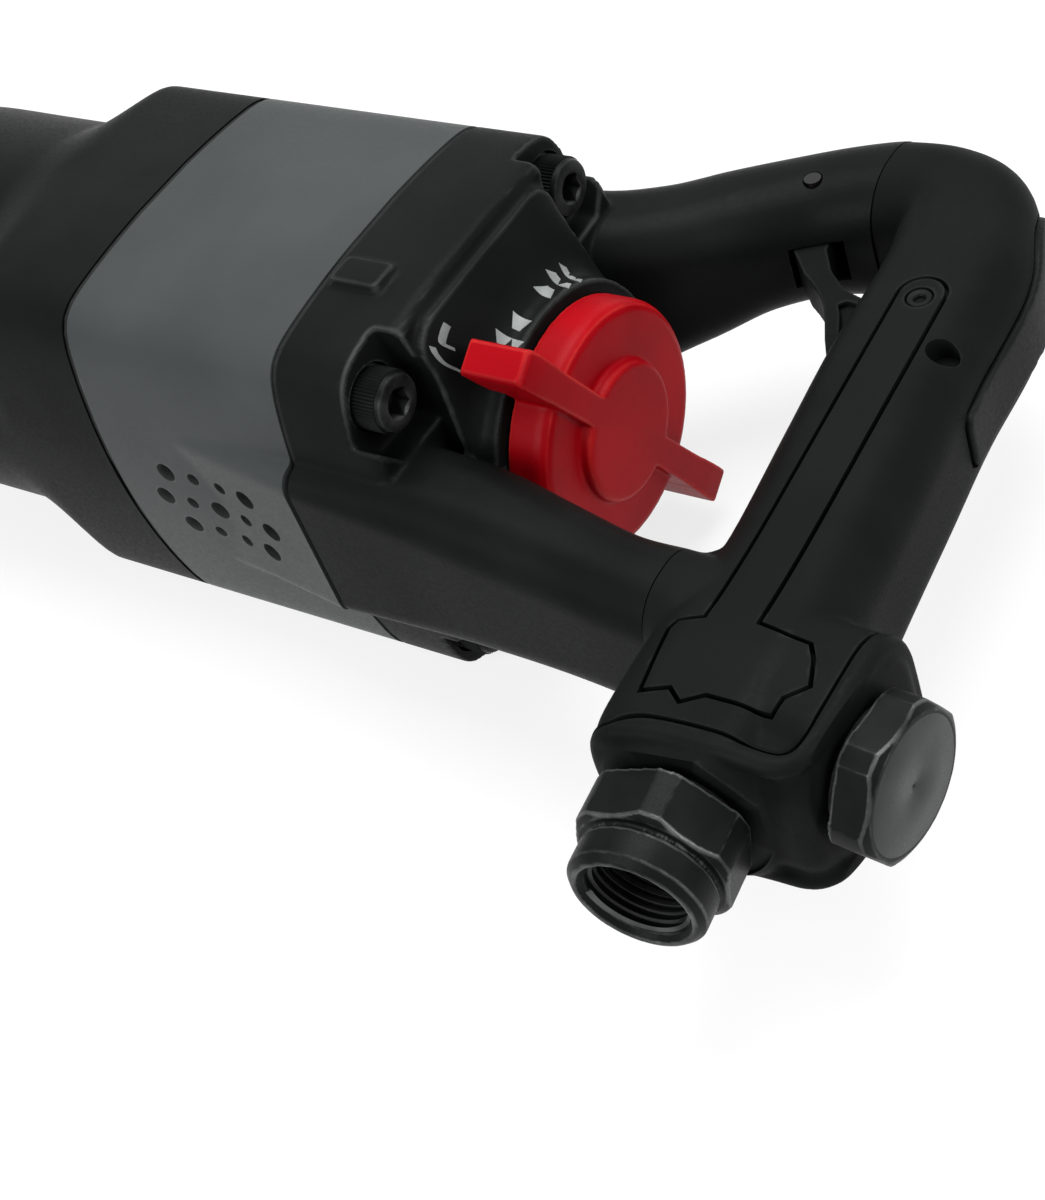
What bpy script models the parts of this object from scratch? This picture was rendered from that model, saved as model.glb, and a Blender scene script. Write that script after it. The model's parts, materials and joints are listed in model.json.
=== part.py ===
"""Pneumatic impact wrench with a D handle, lying on its right flank.

Every piece is modelled in the tool's own frame: X forward along the drive axis, Y to the
tool's left, Z up towards the trigger end of the grip. One empty, tool_frame, lays the tool
on its right flank. The origin is the centre of the square drive's end face.
"""
import math

import bmesh
import bpy
from mathutils import Matrix, Vector

MM = 0.001

# Fits
FIT = 0.3 * MM
RUNNING = 0.6 * MM
OVERCUT = 1.0 * MM
ROUND_SIDES = 24
SMALL_SIDES = 14
CORNER_POINTS = 5

# Square drive, nose and hammer case
DRIVE_SIDE = 25.4 * MM
DRIVE_LENGTH = 27 * MM
DRIVE_CORNER = 2.5 * MM
DRIVE_PIN_HOLE = 2.8 * MM
ANVIL_COLLAR_LENGTH = 6 * MM
ANVIL_FLANGE_RIM = 7 * MM
ANVIL_FLANGE_LENGTH = 4 * MM
ANVIL_EAR_HEIGHT = 1.8 * MM
ANVIL_EAR_HALF_WIDTH = 4.5 * MM
NOSE_WALL = 5 * MM
NOSE_LENGTH = 20 * MM
NOSE_CHAMFER = 2 * MM
TAPER_LENGTH = 26 * MM
TAPER_SHOULDER = 5 * MM
BARREL_WALL = 5.5 * MM
BARREL_LENGTH = 49 * MM
BLEND_LENGTH = 16 * MM
CASE_FLANGE_LENGTH = 30 * MM
BUSHING_WALL = 4 * MM
SEAL_LENGTH = 4 * MM

# Hammer mechanism
CAGE_CLEARANCE = 3 * MM
CAGE_RIM = 8 * MM
CAGE_FRONT_DISC = 9 * MM
CAGE_REAR_DISC = 10 * MM
CAGE_HUB_WALL = 9.2 * MM
HAMMER_LENGTH = 22 * MM
HAMMER_WALL = 5.5 * MM
HAMMER_SWING = 3.8 * MM
HAMMER_LUG_RADIUS = 7 * MM
HAMMER_PIN_RADIUS = 4.2 * MM
HAMMER_PIN_GAP = 0.8 * MM
HAMMER_JAW_GAP = 2.7 * MM

# Motor housing
SIDE_WALL = 6.5 * MM
FLOOR_WALL = 5.5 * MM
SIDE_CROWN = 4.8 * MM
FLOOR_CROWN = 8.1 * MM
CORNER_SHARPNESS = 20
MOTOR_LENGTH = 60.4 * MM
GASKET = 1.0 * MM
KEEL_HEIGHT = 4 * MM
KEEL_HALF_WIDTH = 22 * MM
KEEL_EDGE = 5 * MM
KEEL_RUN = 46 * MM
VENT_PITCH = 8.5 * MM
VENT_ROW_PITCH = 8.5 * MM
VENT_BIG_RADIUS = 2.6 * MM
VENT_SMALL_RADIUS = 1.7 * MM
VENT_SET_BACK = 30 * MM
EXHAUST_WALL = 3 * MM
EXHAUST_HALF_WIDTH = 22 * MM
EXHAUST_PORT_HALF_WIDTH = 14 * MM
EXHAUST_PORT_LENGTH = 5 * MM
EXHAUST_PORT_PITCH = 10 * MM

# Air motor
LINER_BORE_RADIUS = 35.5 * MM
LINER_OFFSET = 2.5 * MM
LINER_WALL = 4.7 * MM
PLATE_LENGTH = 8 * MM
VANES = 6
VANE_THICKNESS = 2.6 * MM
VANE_HEIGHT = 15 * MM
SHAFT_FRONT_RADIUS = 10.5 * MM
SHAFT_REAR_RADIUS = 9 * MM
SPLINE_RADIUS = 9.5 * MM
BEARING_WALL = 4.5 * MM
BEARING_LENGTH = 7 * MM

# Rear cover, dial collar and knob
COVER_LENGTH = 25 * MM
COVER_CAVITY_RADIUS = 27 * MM
COVER_CAVITY_LENGTH = 12 * MM
DIAL_BASE_RADIUS = 35 * MM
DIAL_RADIUS = 31.5 * MM
DIAL_LENGTH = 13 * MM
SPOOL_RADIUS = 13.7 * MM
SPOOL_STUB_RADIUS = 5 * MM
SPOOL_STUB_LENGTH = 6 * MM
KNOB_LENGTH = 9.9 * MM
KNOB_FACE_RADIUS = 26.7 * MM
KNOB_RIM_RADIUS = 28.4 * MM
KNOB_BOSS_RADIUS = 15.8 * MM
KNOB_BOSS_HEIGHT = 2.8 * MM
WING_REACH = 47 * MM
WING_FORWARD = 13 * MM
WING_HALF_THICKNESS = 4 * MM
WING_ANGLE = math.radians(-30)

# Cap screws through the four corners
BOLT_RADIUS = 4 * MM
BOLT_CLEARANCE = 0.4 * MM
BOLT_WALL = 2.1 * MM
BOLT_HEAD_RADIUS = 6.75 * MM
BOLT_HEAD_LENGTH = 8 * MM
BOLT_SOCKET_RADIUS = 3.6 * MM
BOLT_SOCKET_DEPTH = 4.5 * MM
BOLT_ENGAGEMENT = 22 * MM
WASHER_LENGTH = 2 * MM
WASHER_RADIUS = 6.9 * MM
POCKET_DEPTH = 10.6 * MM
POCKET_SHAPE = ((10 * MM, -7.5 * MM), (11 * MM, -2 * MM), (9 * MM, 5 * MM), (3 * MM, 8.5 * MM), (-5 * MM, 10 * MM),
                (-14 * MM, 4 * MM), (-15.5 * MM, -3 * MM), (-8 * MM, -9.5 * MM), (-2 * MM, -12.5 * MM),
                (5 * MM, -11 * MM))

# Handle, measured back from the knob's face and up from the drive axis
GRIP_RAKE = math.radians(6.3)
GRIP_REACH = 60 * MM
ARM_ROOT = 7 * MM
LOWER_SEAM = 43 * MM
UPPER_SEAM = 30 * MM
INLET_REACH = 66 * MM
INLET_DROP = 107.3 * MM
PLUG_REACH = 101.8 * MM
PLUG_DROP = 66.1 * MM
PLUG_TILT = math.radians(4.8)
PLUG_BOSS_HALF = 20 * MM
PLUG_BOSS_HALF_HEIGHT = 18.7 * MM
PLUG_BOSS_RISE = 2.3 * MM
PLUG_BOSS_ROOT = 63 * MM
PLUG_BOSS_CORNER = 12 * MM

# Inlet bushing and oil plug
FITTING_HEX = 30 * MM
INLET_MOUTH_RADIUS = 12.2 * MM
INLET_COLLAR_RADIUS = 13.8 * MM
INLET_COLLAR_LENGTH = 8.5 * MM
INLET_HEX_LENGTH = 11 * MM
INLET_BORE_RADIUS = 10 * MM
INLET_BORE_DEPTH = 15 * MM
INLET_THROAT_RADIUS = 7 * MM
INLET_SHANK_RADIUS = 10.5 * MM
INLET_SHANK_LENGTH = 13 * MM
SCREEN_WALL = 1 * MM
SCREEN_LENGTH = 12 * MM
ORING_LENGTH = 1.4 * MM
ORING_RADIUS = 13 * MM
PLUG_HEX_LENGTH = 8 * MM
PLUG_SHANK_RADIUS = 9 * MM
PLUG_SHANK_LENGTH = 12 * MM
AIR_PASSAGE_RADIUS = 6 * MM

# Trigger and throttle valve
TRIGGER_HALF_WIDTH = 5 * MM
TRIGGER_PIVOT_REACH = 15 * MM
TRIGGER_PIVOT_HEIGHT = 69.5 * MM
TRIGGER_EYE_RADIUS = 4.4 * MM
TRIGGER_PIN_RADIUS = 2 * MM
TRIGGER_BACK = 43 * MM
TRIGGER_STROKE = 6.5 * MM
TRIGGER_REAR_EDGE = ((21 * MM, 60 * MM), (25.5 * MM, 53.5 * MM), (31.3 * MM, 48.5 * MM), (37 * MM, 46.6 * MM),
                     (TRIGGER_BACK - 2 * MM, 44.5 * MM), (TRIGGER_BACK, 41 * MM), (TRIGGER_BACK, 28 * MM),
                     (TRIGGER_BACK - 1.6 * MM, 22.8 * MM))
TRIGGER_FRONT_EDGE = ((40.2 * MM, 24.2 * MM), (37 * MM, 28.2 * MM), (34.4 * MM, 32.6 * MM), (31.3 * MM, 38.6 * MM),
                      (29.4 * MM, 41.9 * MM), (27.5 * MM, 44.5 * MM), (25.7 * MM, 46.4 * MM), (23 * MM, 48.8 * MM),
                      (19.8 * MM, 51.2 * MM), (13.8 * MM, 57.7 * MM))
TRIGGER_SLOT_TOP = 57 * MM
TRIGGER_SLOT_FLOOR = 17 * MM
TRIGGER_SLOT_FRONT = 30 * MM
TRIGGER_SLOT_CORNER = 3.5 * MM
VALVE_HEIGHT = 36 * MM
VALVE_STEM_RADIUS = 2.6 * MM
VALVE_HEAD_RADIUS = 5.5 * MM
VALVE_HEAD_LENGTH = 3 * MM
VALVE_TAIL_LENGTH = 3.2 * MM
VALVE_BORE_RADIUS = 6.4 * MM
VALVE_WALL = 4 * MM
VALVE_CAP_REACH = 67.4 * MM
VALVE_CAP_LENGTH = 2.8 * MM
SPRING_TURNS = 3
SPRING_POINTS = 9
SPRING_RADIUS = 4 * MM
SPRING_WIRE = 0.45 * MM
SPRING_PITCH = 1.35 * MM

# Side inlays and rear pad
INLAY_HALF_WIDTH = 5.2 * MM
INLAY_TOP = 37 * MM
INLAY_REACH = 59.85 * MM
INLAY_LEAN = 0.0614
INLAY_DEPTH = 1.6 * MM
INLAY_PROUD = 0.3 * MM
INLAY_SCREW_RADIUS = 2.8 * MM
INLAY_SCREW_HEAD = 1.1 * MM
INLAY_SCREW_SHANK = 1.3 * MM
INLAY_SCREW_LENGTH = 7 * MM
GRIP_HALF_WIDTH = 18.5 * MM
BADGE_SWELL = 2 * MM
BADGE_HALF_WIDTH = GRIP_HALF_WIDTH + BADGE_SWELL
PAD_PROUD = 0.8 * MM
PAD_DEPTH = 2.2 * MM
PAD_BEHIND = 120 * MM
PAD_ROOT = 56 * MM
CROSS_HOLE_REACH = 68.4 * MM
CROSS_HOLE_HEIGHT = 23.4 * MM
CROSS_HOLE_RADIUS = 3.3 * MM
CROSS_HOLE_DEPTH = 6 * MM

# Sizes that follow from those above
MOTOR_BORE_RADIUS = LINER_BORE_RADIUS + LINER_OFFSET + LINER_WALL + FIT
HALF_WIDTH = MOTOR_BORE_RADIUS + SIDE_WALL
HALF_HEIGHT = MOTOR_BORE_RADIUS + FLOOR_WALL
KEEL_DEPTH = HALF_HEIGHT + KEEL_HEIGHT
BOLT_HOLE_RADIUS = BOLT_RADIUS + BOLT_CLEARANCE
BOLT_OFFSET = (MOTOR_BORE_RADIUS + BOLT_WALL + BOLT_HOLE_RADIUS) / math.sqrt(2)
CASE_BORE_RADIUS = MOTOR_BORE_RADIUS
BARREL_RADIUS = CASE_BORE_RADIUS + BARREL_WALL
CAGE_RADIUS = CASE_BORE_RADIUS - CAGE_CLEARANCE
HAMMER_PIN_OFFSET = CAGE_RADIUS - CAGE_RIM
HAMMER_OUTER = HAMMER_PIN_OFFSET - HAMMER_PIN_RADIUS - HAMMER_PIN_GAP
HAMMER_INNER = HAMMER_OUTER - HAMMER_WALL
CAGE_WEB_INNER = HAMMER_OUTER + HAMMER_SWING
ANVIL_EAR_RADIUS = HAMMER_INNER - HAMMER_JAW_GAP
ANVIL_RADIUS = ANVIL_EAR_RADIUS - ANVIL_EAR_HEIGHT
ANVIL_FLANGE_RADIUS = ANVIL_RADIUS + ANVIL_FLANGE_RIM
NOSE_BORE_RADIUS = ANVIL_RADIUS + RUNNING + BUSHING_WALL + FIT
NOSE_RADIUS = NOSE_BORE_RADIUS + NOSE_WALL
CAGE_HUB_RADIUS = SPLINE_RADIUS + FIT + CAGE_HUB_WALL

# Planes along the drive axis, from the drive's end face backwards
X_NOSE = -(DRIVE_LENGTH + ANVIL_COLLAR_LENGTH)
X_TAPER = X_NOSE - NOSE_LENGTH
X_BARREL = X_TAPER - TAPER_LENGTH
X_BLEND = X_BARREL - BARREL_LENGTH
X_CASE_FLANGE = X_BLEND - BLEND_LENGTH
X_CASE_BACK = X_CASE_FLANGE - CASE_FLANGE_LENGTH
X_MOTOR_FRONT = X_CASE_BACK - GASKET - 2 * FIT
X_MOTOR_BACK = X_MOTOR_FRONT - MOTOR_LENGTH
X_COVER_FRONT = X_MOTOR_BACK - GASKET - 2 * FIT
X_COVER_BACK = X_COVER_FRONT - COVER_LENGTH
X_DIAL_BACK = X_COVER_BACK - DIAL_LENGTH
X_KNOB = X_DIAL_BACK - FIT - KNOB_LENGTH
X_CAGE_FRONT = X_BARREL - ANVIL_FLANGE_LENGTH - 2 * FIT
X_WINDOW_FRONT = X_CAGE_FRONT - CAGE_FRONT_DISC
X_WINDOW_BACK = X_WINDOW_FRONT - 2 * HAMMER_LENGTH - 3 * FIT
X_CAGE_BACK = X_WINDOW_BACK - CAGE_REAR_DISC
X_POCKET = X_COVER_BACK + POCKET_DEPTH

FORWARD = Vector((1, 0, 0))
LEFT = Vector((0, 1, 0))
UP = Vector((0, 0, 1))
GRIP_UP = Vector((math.sin(GRIP_RAKE), 0, math.cos(GRIP_RAKE)))
PLUG_FORWARD = Vector((math.cos(PLUG_TILT), 0, math.sin(PLUG_TILT)))


def start_scene():
    """Clears the scene and makes the two collections and the frame that lays the tool down."""
    for old in list(bpy.data.objects):
        bpy.data.objects.remove(old)
    for name in ("impact_wrench", "impact_wrench_cutters"):
        bpy.context.scene.collection.children.link(bpy.data.collections.new(name))
    frame = bpy.data.objects.new("tool_frame", None)
    frame.rotation_euler = (math.pi / 2, 0, 0)
    bpy.data.collections["impact_wrench"].objects.link(frame)
    return frame


TOOL = start_scene()


def material(name, colour, roughness, metallic=0.0):
    made = bpy.data.materials.new(name)
    made.use_nodes = True
    shader = made.node_tree.nodes["Principled BSDF"]
    shader.inputs["Base Color"].default_value = (*colour, 1)
    shader.inputs["Roughness"].default_value = roughness
    shader.inputs["Metallic"].default_value = metallic
    made.diffuse_color = (*colour, 1)
    return made


BLACK_PAINT = material("black_painted_casting", (0.012, 0.013, 0.013), 0.45)
BLACK_RUBBER = material("black_moulded_grip", (0.016, 0.017, 0.017), 0.6)
GREY_PAINT = material("grey_painted_casting", (0.075, 0.078, 0.078), 0.4)
RED_PLASTIC = material("red_moulded_plastic", (0.45, 0.008, 0.012), 0.42)
BLACK_STEEL = material("black_oxide_steel", (0.02, 0.021, 0.021), 0.35, 1.0)
BRIGHT_STEEL = material("ground_steel", (0.55, 0.55, 0.54), 0.3, 1.0)
BRONZE = material("bearing_bronze", (0.45, 0.27, 0.1), 0.4, 1.0)
PHENOLIC = material("vane_phenolic", (0.14, 0.06, 0.03), 0.6)
FIBRE = material("gasket_fibre", (0.03, 0.03, 0.032), 0.8)


def finish(obj, finish_material, smooth=True):
    """Puts a part in the object's collection, under the tool's frame, with its own finish."""
    bpy.data.collections["impact_wrench"].objects.link(obj)
    obj.parent = TOOL
    obj.data.materials.append(finish_material.copy())
    obj.data.materials[0].name = obj.name + "_finish"
    if smooth:
        obj.data.shade_smooth()
        obj.data.set_sharp_from_angle(angle=math.radians(35))
    return obj


def helper(obj):
    """Puts a cutter, or a shape that is joined to a part, out of the render."""
    bpy.data.collections["impact_wrench_cutters"].objects.link(obj)
    obj.parent = TOOL
    obj.hide_render = True
    obj.display_type = "WIRE"
    return obj


def boolean(obj, other, operation):
    modifier = obj.modifiers.new(operation.lower() + "_" + other.name, "BOOLEAN")
    modifier.operation = operation
    modifier.object = other
    return obj


def cut(obj, *cutters):
    for cutter in cutters:
        boolean(obj, cutter, "DIFFERENCE")
    return obj


def join(obj, *others):
    for other in others:
        boolean(obj, other, "UNION")
    return obj


def along(direction, at):
    """The matrix that turns local +Z to a direction and moves the origin to a point."""
    return Matrix.Translation(at) @ direction.to_track_quat("Z", "Y").to_matrix().to_4x4()


def turned(name, profile, at=Vector(), direction=FORWARD, sides=ROUND_SIDES, ring=False):
    """A turned shape: the profile's (radius, height) points run down its outer side."""
    mesh = bpy.data.meshes.new(name)
    count = len(profile)
    edges = [(i, i + 1) for i in range(count - 1)]
    if ring:
        edges.append((count - 1, 0))
    mesh.from_pydata([(radius, 0, height) for radius, height in profile], edges, [])
    obj = bpy.data.objects.new(name, mesh)
    obj.matrix_local = along(direction, at)
    screw = obj.modifiers.new("turn", "SCREW")
    screw.steps = sides
    screw.render_steps = sides
    screw.use_merge_vertices = True
    screw.merge_threshold = 0.00001
    return obj


def rod(name, radius, low, high, at=Vector(), direction=FORWARD, sides=ROUND_SIDES):
    """A plain cylinder between two heights along a direction."""
    return turned(name, [(0, high), (radius, high), (radius, low), (0, low)], at, direction, sides)


def tube(name, inner, outer, low, high, at=Vector(), direction=FORWARD, sides=ROUND_SIDES):
    """A plain sleeve between two heights along a direction."""
    profile = [(outer, high), (outer, low), (inner, low), (inner, high)]
    return turned(name, profile, at, direction, sides, ring=True)


def from_bmesh(name, shape):
    bmesh.ops.recalc_face_normals(shape, faces=shape.faces)
    mesh = bpy.data.meshes.new(name)
    shape.to_mesh(mesh)
    shape.free()
    return bpy.data.objects.new(name, mesh)


def loft(name, rings):
    """A closed skin over rings of equally many points."""
    shape = bmesh.new()
    rows = [[shape.verts.new(point) for point in ring] for ring in rings]
    for row, after in zip(rows, rows[1:]):
        for i in range(len(row)):
            j = (i + 1) % len(row)
            shape.faces.new((row[i], row[j], after[j], after[i]))
    shape.faces.new(rows[0])
    shape.faces.new(rows[-1])
    return from_bmesh(name, shape)


def prism(name, outline, low, high, axis):
    """An outline of (x, z) points run along Y, or of (y, z) points run along X."""
    if axis == "Y":
        rings = [[Vector((a, level, b)) for a, b in outline] for level in (low, high)]
    else:
        rings = [[Vector((level, a, b)) for a, b in outline] for level in (low, high)]
    return loft(name, rings)


def rounded(half_a, half_b, radius):
    """A rectangle with round corners, as points about its centre."""
    points = []
    for quarter, (sign_a, sign_b) in enumerate(((1, 1), (-1, 1), (-1, -1), (1, -1))):
        for step in range(CORNER_POINTS):
            angle = math.pi / 2 * (quarter + step / (CORNER_POINTS - 1))
            points.append((
                sign_a * (half_a - radius) + radius * math.cos(angle),
                sign_b * (half_b - radius) + radius * math.sin(angle),
            ))
    return points


def cross_ring(x, half_y, half_z, radius, drop=0.0):
    """A rounded section square to the drive axis."""
    return [Vector((x, a, b + drop)) for a, b in rounded(half_y, half_z, radius)]


BODY_ANGLES = (10, 20, 29, 35, 38.5, 42, 45.5, 50, 58, 68, 79)


def body_turns():
    """The angles at which every section of the body is drawn, with a narrow flat across the middle of each side."""
    back = BODY_ANGLES[::-1]
    turns = [*BODY_ANGLES, *(180 - a for a in back), *(180 + a for a in BODY_ANGLES), *(360 - a for a in back)]
    return [math.radians(a) for a in turns]


def bowed(near, far, bow, half, across):
    """How far a ray runs before it meets a side that bows in by a given depth at its ends."""
    curve = bow * (far / across) ** 2
    if curve < 1e-9:
        return half / max(near, 1e-9)
    return (math.sqrt(near * near + 4 * curve * half) - near) / (2 * curve)


def body_outline(inset=0.0):
    """The body's section: four bowed sides that meet in small round corners."""
    points = []
    for angle in body_turns():
        near = abs(math.cos(angle))
        far = abs(math.sin(angle))
        side = bowed(near, far, SIDE_CROWN, HALF_WIDTH - inset, HALF_HEIGHT)
        floor = bowed(far, near, FLOOR_CROWN, HALF_HEIGHT - inset, HALF_WIDTH)
        least = min(side, floor)
        power = CORNER_SHARPNESS
        radius = least / ((least / side) ** power + (least / floor) ** power) ** (1 / power)
        points.append((radius * math.cos(angle), radius * math.sin(angle)))
    return points


def body_ring(x, inset=0.0):
    """A section of the body square to the drive axis."""
    return [Vector((x, a, b)) for a, b in body_outline(inset)]


def round_ring(x, radius):
    """A round section with as many points as the body's."""
    return [Vector((x, radius * math.cos(angle), radius * math.sin(angle))) for angle in body_turns()]


def swept(name, stations, first=None, last=None):
    """A loft along a path in the plane of symmetry, its end rings square to a direction if given.

    A station is (reach behind the knob's face, height, half depth, half width, corner radius).
    """
    centres = [Vector((X_KNOB - reach, 0, height)) for reach, height, *_ in stations]
    rings = []
    end = len(centres) - 1
    for i, (_, _, half_depth, half_width, radius) in enumerate(stations):
        run = centres[min(i + 1, end)] - centres[max(i - 1, 0)]
        if i == 0 and first is not None:
            run = first
        if i == end and last is not None:
            run = last
        across = LEFT.cross(run).normalized()
        ring = [centres[i] + LEFT * a + across * b for a, b in rounded(half_width, half_depth, radius)]
        rings.append(ring)
    return loft(name, rings)


def hexagon(name, flats, low, high, at, direction, chamfer):
    """A hexagonal bar with its far end chamfered by a cone."""
    corner = flats / math.sqrt(3)
    rings = []
    for level in (low, high):
        ring = [
            Vector((corner * math.cos(k * math.pi / 3), corner * math.sin(k * math.pi / 3), level))
            for k in range(6)
        ]
        rings.append(ring)
    bar = loft(name, rings)
    bar.matrix_local = along(direction, at)
    face = flats / 2 * 0.96
    profile = [(0, high), (face, high), (corner + chamfer, high - (corner + chamfer - face) / 2)]
    profile += [(corner + chamfer, low - OVERCUT), (0, low - OVERCUT)]
    cone = helper(turned(name + "_chamfer", profile, at, direction, SMALL_SIDES * 2))
    return boolean(bar, cone, "INTERSECT")


def solid_mesh(obj, name):
    """The evaluated shape of a built object as a plain mesh, which several parts can share."""
    bpy.context.view_layer.update()
    graph = bpy.context.evaluated_depsgraph_get()
    mesh = bpy.data.meshes.new_from_object(obj.evaluated_get(graph))
    mesh.name = name
    return mesh


def behind(reach, height, side=0.0):
    """A point given by its reach behind the knob's face, its height and its side."""
    return Vector((X_KNOB - reach, side, height))


def corners():
    """The four bolt corners, with a name for each."""
    for side, y in (("left", 1), ("right", -1)):
        for level, z in (("upper", 1), ("lower", -1)):
            yield side + "_" + level, y, z


def build_anvil():
    square = rounded(DRIVE_SIDE / 2, DRIVE_SIDE / 2, DRIVE_CORNER)
    anvil = prism("anvil", square, -DRIVE_LENGTH - OVERCUT, 0, "X")
    tail = X_WINDOW_BACK + OVERCUT
    profile = [
        (0, -DRIVE_LENGTH), (ANVIL_RADIUS, -DRIVE_LENGTH), (ANVIL_RADIUS, X_BARREL - FIT),
        (ANVIL_FLANGE_RADIUS, X_BARREL - FIT),
        (ANVIL_FLANGE_RADIUS, X_BARREL - FIT - ANVIL_FLANGE_LENGTH),
        (ANVIL_RADIUS, X_BARREL - FIT - ANVIL_FLANGE_LENGTH), (ANVIL_RADIUS, tail), (0, tail),
    ]
    shank = helper(turned("anvil_shank", profile))
    ear = rounded(ANVIL_EAR_HALF_WIDTH, ANVIL_EAR_RADIUS, 2 * FIT)
    ears = helper(prism("anvil_ears", ear, tail + FIT, X_WINDOW_FRONT, "X"))
    hole = rod("drive_pin_hole", DRIVE_PIN_HOLE, -DRIVE_SIDE, DRIVE_SIDE,
               Vector((-DRIVE_LENGTH / 2, 0, 0)), UP, SMALL_SIDES)
    finish(anvil, BRIGHT_STEEL)
    cut(join(anvil, shank, ears), helper(hole))


def build_nose():
    bore = ANVIL_RADIUS + RUNNING
    outer = bore + BUSHING_WALL
    back = X_BARREL
    finish(tube("nose_seal", bore, outer, X_NOSE - SEAL_LENGTH, X_NOSE - FIT), FIBRE)
    finish(tube("anvil_bushing", bore, outer, back, X_NOSE - SEAL_LENGTH - FIT), BRONZE)
    rounds = ((X_NOSE, NOSE_RADIUS - NOSE_CHAMFER), (X_NOSE - NOSE_CHAMFER, NOSE_RADIUS),
              (X_TAPER, NOSE_RADIUS), (X_BARREL + TAPER_SHOULDER, BARREL_RADIUS - TAPER_SHOULDER / 2),
              (X_BARREL, BARREL_RADIUS), (X_BLEND, BARREL_RADIUS))
    case = loft("hammer_case", [
        *(round_ring(x, radius) for x, radius in rounds),
        body_ring(X_CASE_FLANGE),
        body_ring(X_CASE_BACK),
    ])
    finish(case, BLACK_PAINT)
    cut(case,
        helper(rod("case_bore", CASE_BORE_RADIUS, X_CASE_BACK - OVERCUT, X_BARREL)),
        helper(rod("nose_bore", NOSE_BORE_RADIUS, X_BARREL - OVERCUT, X_NOSE + OVERCUT)))
    for name, y, z in corners():
        at = Vector((0, y * BOLT_OFFSET, z * BOLT_OFFSET))
        low = X_CASE_BACK - OVERCUT
        high = X_CASE_BACK + BOLT_ENGAGEMENT + 2 * MM
        cut(case, helper(rod("case_hole_" + name, BOLT_RADIUS + FIT, low, high, at, FORWARD, SMALL_SIDES)))


def build_hammers():
    window = X_WINDOW_FRONT - X_WINDOW_BACK
    hub_back = X_MOTOR_FRONT + 2 * MM
    profile = [
        (CAGE_RADIUS, X_CAGE_FRONT), (CAGE_RADIUS, X_CAGE_BACK), (CAGE_HUB_RADIUS, X_CAGE_BACK),
        (CAGE_HUB_RADIUS, hub_back), (SPLINE_RADIUS + FIT, hub_back),
        (SPLINE_RADIUS + FIT, X_WINDOW_BACK + window / 2), (ANVIL_EAR_RADIUS + RUNNING, X_WINDOW_BACK + window / 2),
        (ANVIL_EAR_RADIUS + RUNNING, X_CAGE_FRONT),
    ]
    cage = finish(turned("hammer_cage", profile, ring=True), BRIGHT_STEEL)
    opening = [(-CAGE_WEB_INNER, -2 * CAGE_RADIUS), (CAGE_WEB_INNER, -2 * CAGE_RADIUS),
               (CAGE_WEB_INNER, 2 * CAGE_RADIUS), (-CAGE_WEB_INNER, 2 * CAGE_RADIUS)]
    cut(cage, helper(prism("cage_window", opening, X_WINDOW_BACK, X_WINDOW_FRONT, "X")))
    for name, z, slot in (("front", 1, 0), ("rear", -1, 1)):
        pin_at = Vector((0, 0, z * HAMMER_PIN_OFFSET))
        low = X_CAGE_BACK + FIT
        high = X_CAGE_FRONT - FIT
        hole = rod("cage_pin_hole_" + name, HAMMER_PIN_RADIUS + FIT, X_CAGE_BACK - OVERCUT,
                   X_CAGE_FRONT + OVERCUT, pin_at, FORWARD, SMALL_SIDES)
        cut(cage, helper(hole))
        finish(rod("hammer_pin_" + name, HAMMER_PIN_RADIUS, low, high, pin_at, FORWARD, SMALL_SIDES), BRIGHT_STEEL)
        high = X_WINDOW_FRONT - FIT - slot * (HAMMER_LENGTH + FIT)
        low = high - HAMMER_LENGTH
        dog = rod("hammer_dog_" + name, HAMMER_LUG_RADIUS, low, high, pin_at, FORWARD, SMALL_SIDES)
        ring = tube("hammer_ring_" + name, HAMMER_INNER, HAMMER_OUTER, low, high)
        eye = rod("hammer_eye_" + name, HAMMER_PIN_RADIUS + FIT, low - OVERCUT, high + OVERCUT,
                  pin_at, FORWARD, SMALL_SIDES)
        finish(dog, BRIGHT_STEEL)
        cut(join(dog, helper(ring)), helper(eye))


def build_gaskets():
    for name, back in (("front_gasket", X_MOTOR_FRONT + FIT), ("rear_gasket", X_COVER_FRONT + FIT)):
        gasket = prism(name, body_outline(FIT), back, back + GASKET, "X")
        finish(gasket, FIBRE)
        low = back - OVERCUT
        high = back + GASKET + OVERCUT
        cut(gasket, helper(rod(name + "_bore", MOTOR_BORE_RADIUS + FIT, low, high)))
        for corner, y, z in corners():
            at = Vector((0, y * BOLT_OFFSET, z * BOLT_OFFSET))
            cut(gasket, helper(rod(name + "_hole_" + corner, BOLT_HOLE_RADIUS, low, high, at, FORWARD, SMALL_SIDES)))


def vent_holes():
    """Centres and radii of the exhaust holes: three staggered rows of big and small holes."""
    for row, pattern in enumerate(("bssb", "bsbsb", "bssb")):
        for column, size in enumerate(pattern):
            x = X_MOTOR_FRONT - VENT_SET_BACK + VENT_PITCH * ((len(pattern) - 1) / 2 - column)
            y = (1 - row) * VENT_ROW_PITCH
            yield x, y, VENT_BIG_RADIUS if size == "b" else VENT_SMALL_RADIUS


def keel_ring(x, sign, rise):
    """A section of the ridge that grows out of the housing's floor or roof towards the arms."""
    root = MOTOR_BORE_RADIUS + OVERCUT
    top = HALF_HEIGHT + rise * KEEL_HEIGHT
    edge = min(KEEL_EDGE, (top - root) / 2 - FIT)
    return cross_ring(x, KEEL_HALF_WIDTH, (top - root) / 2, edge, sign * (top + root) / 2)


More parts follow.
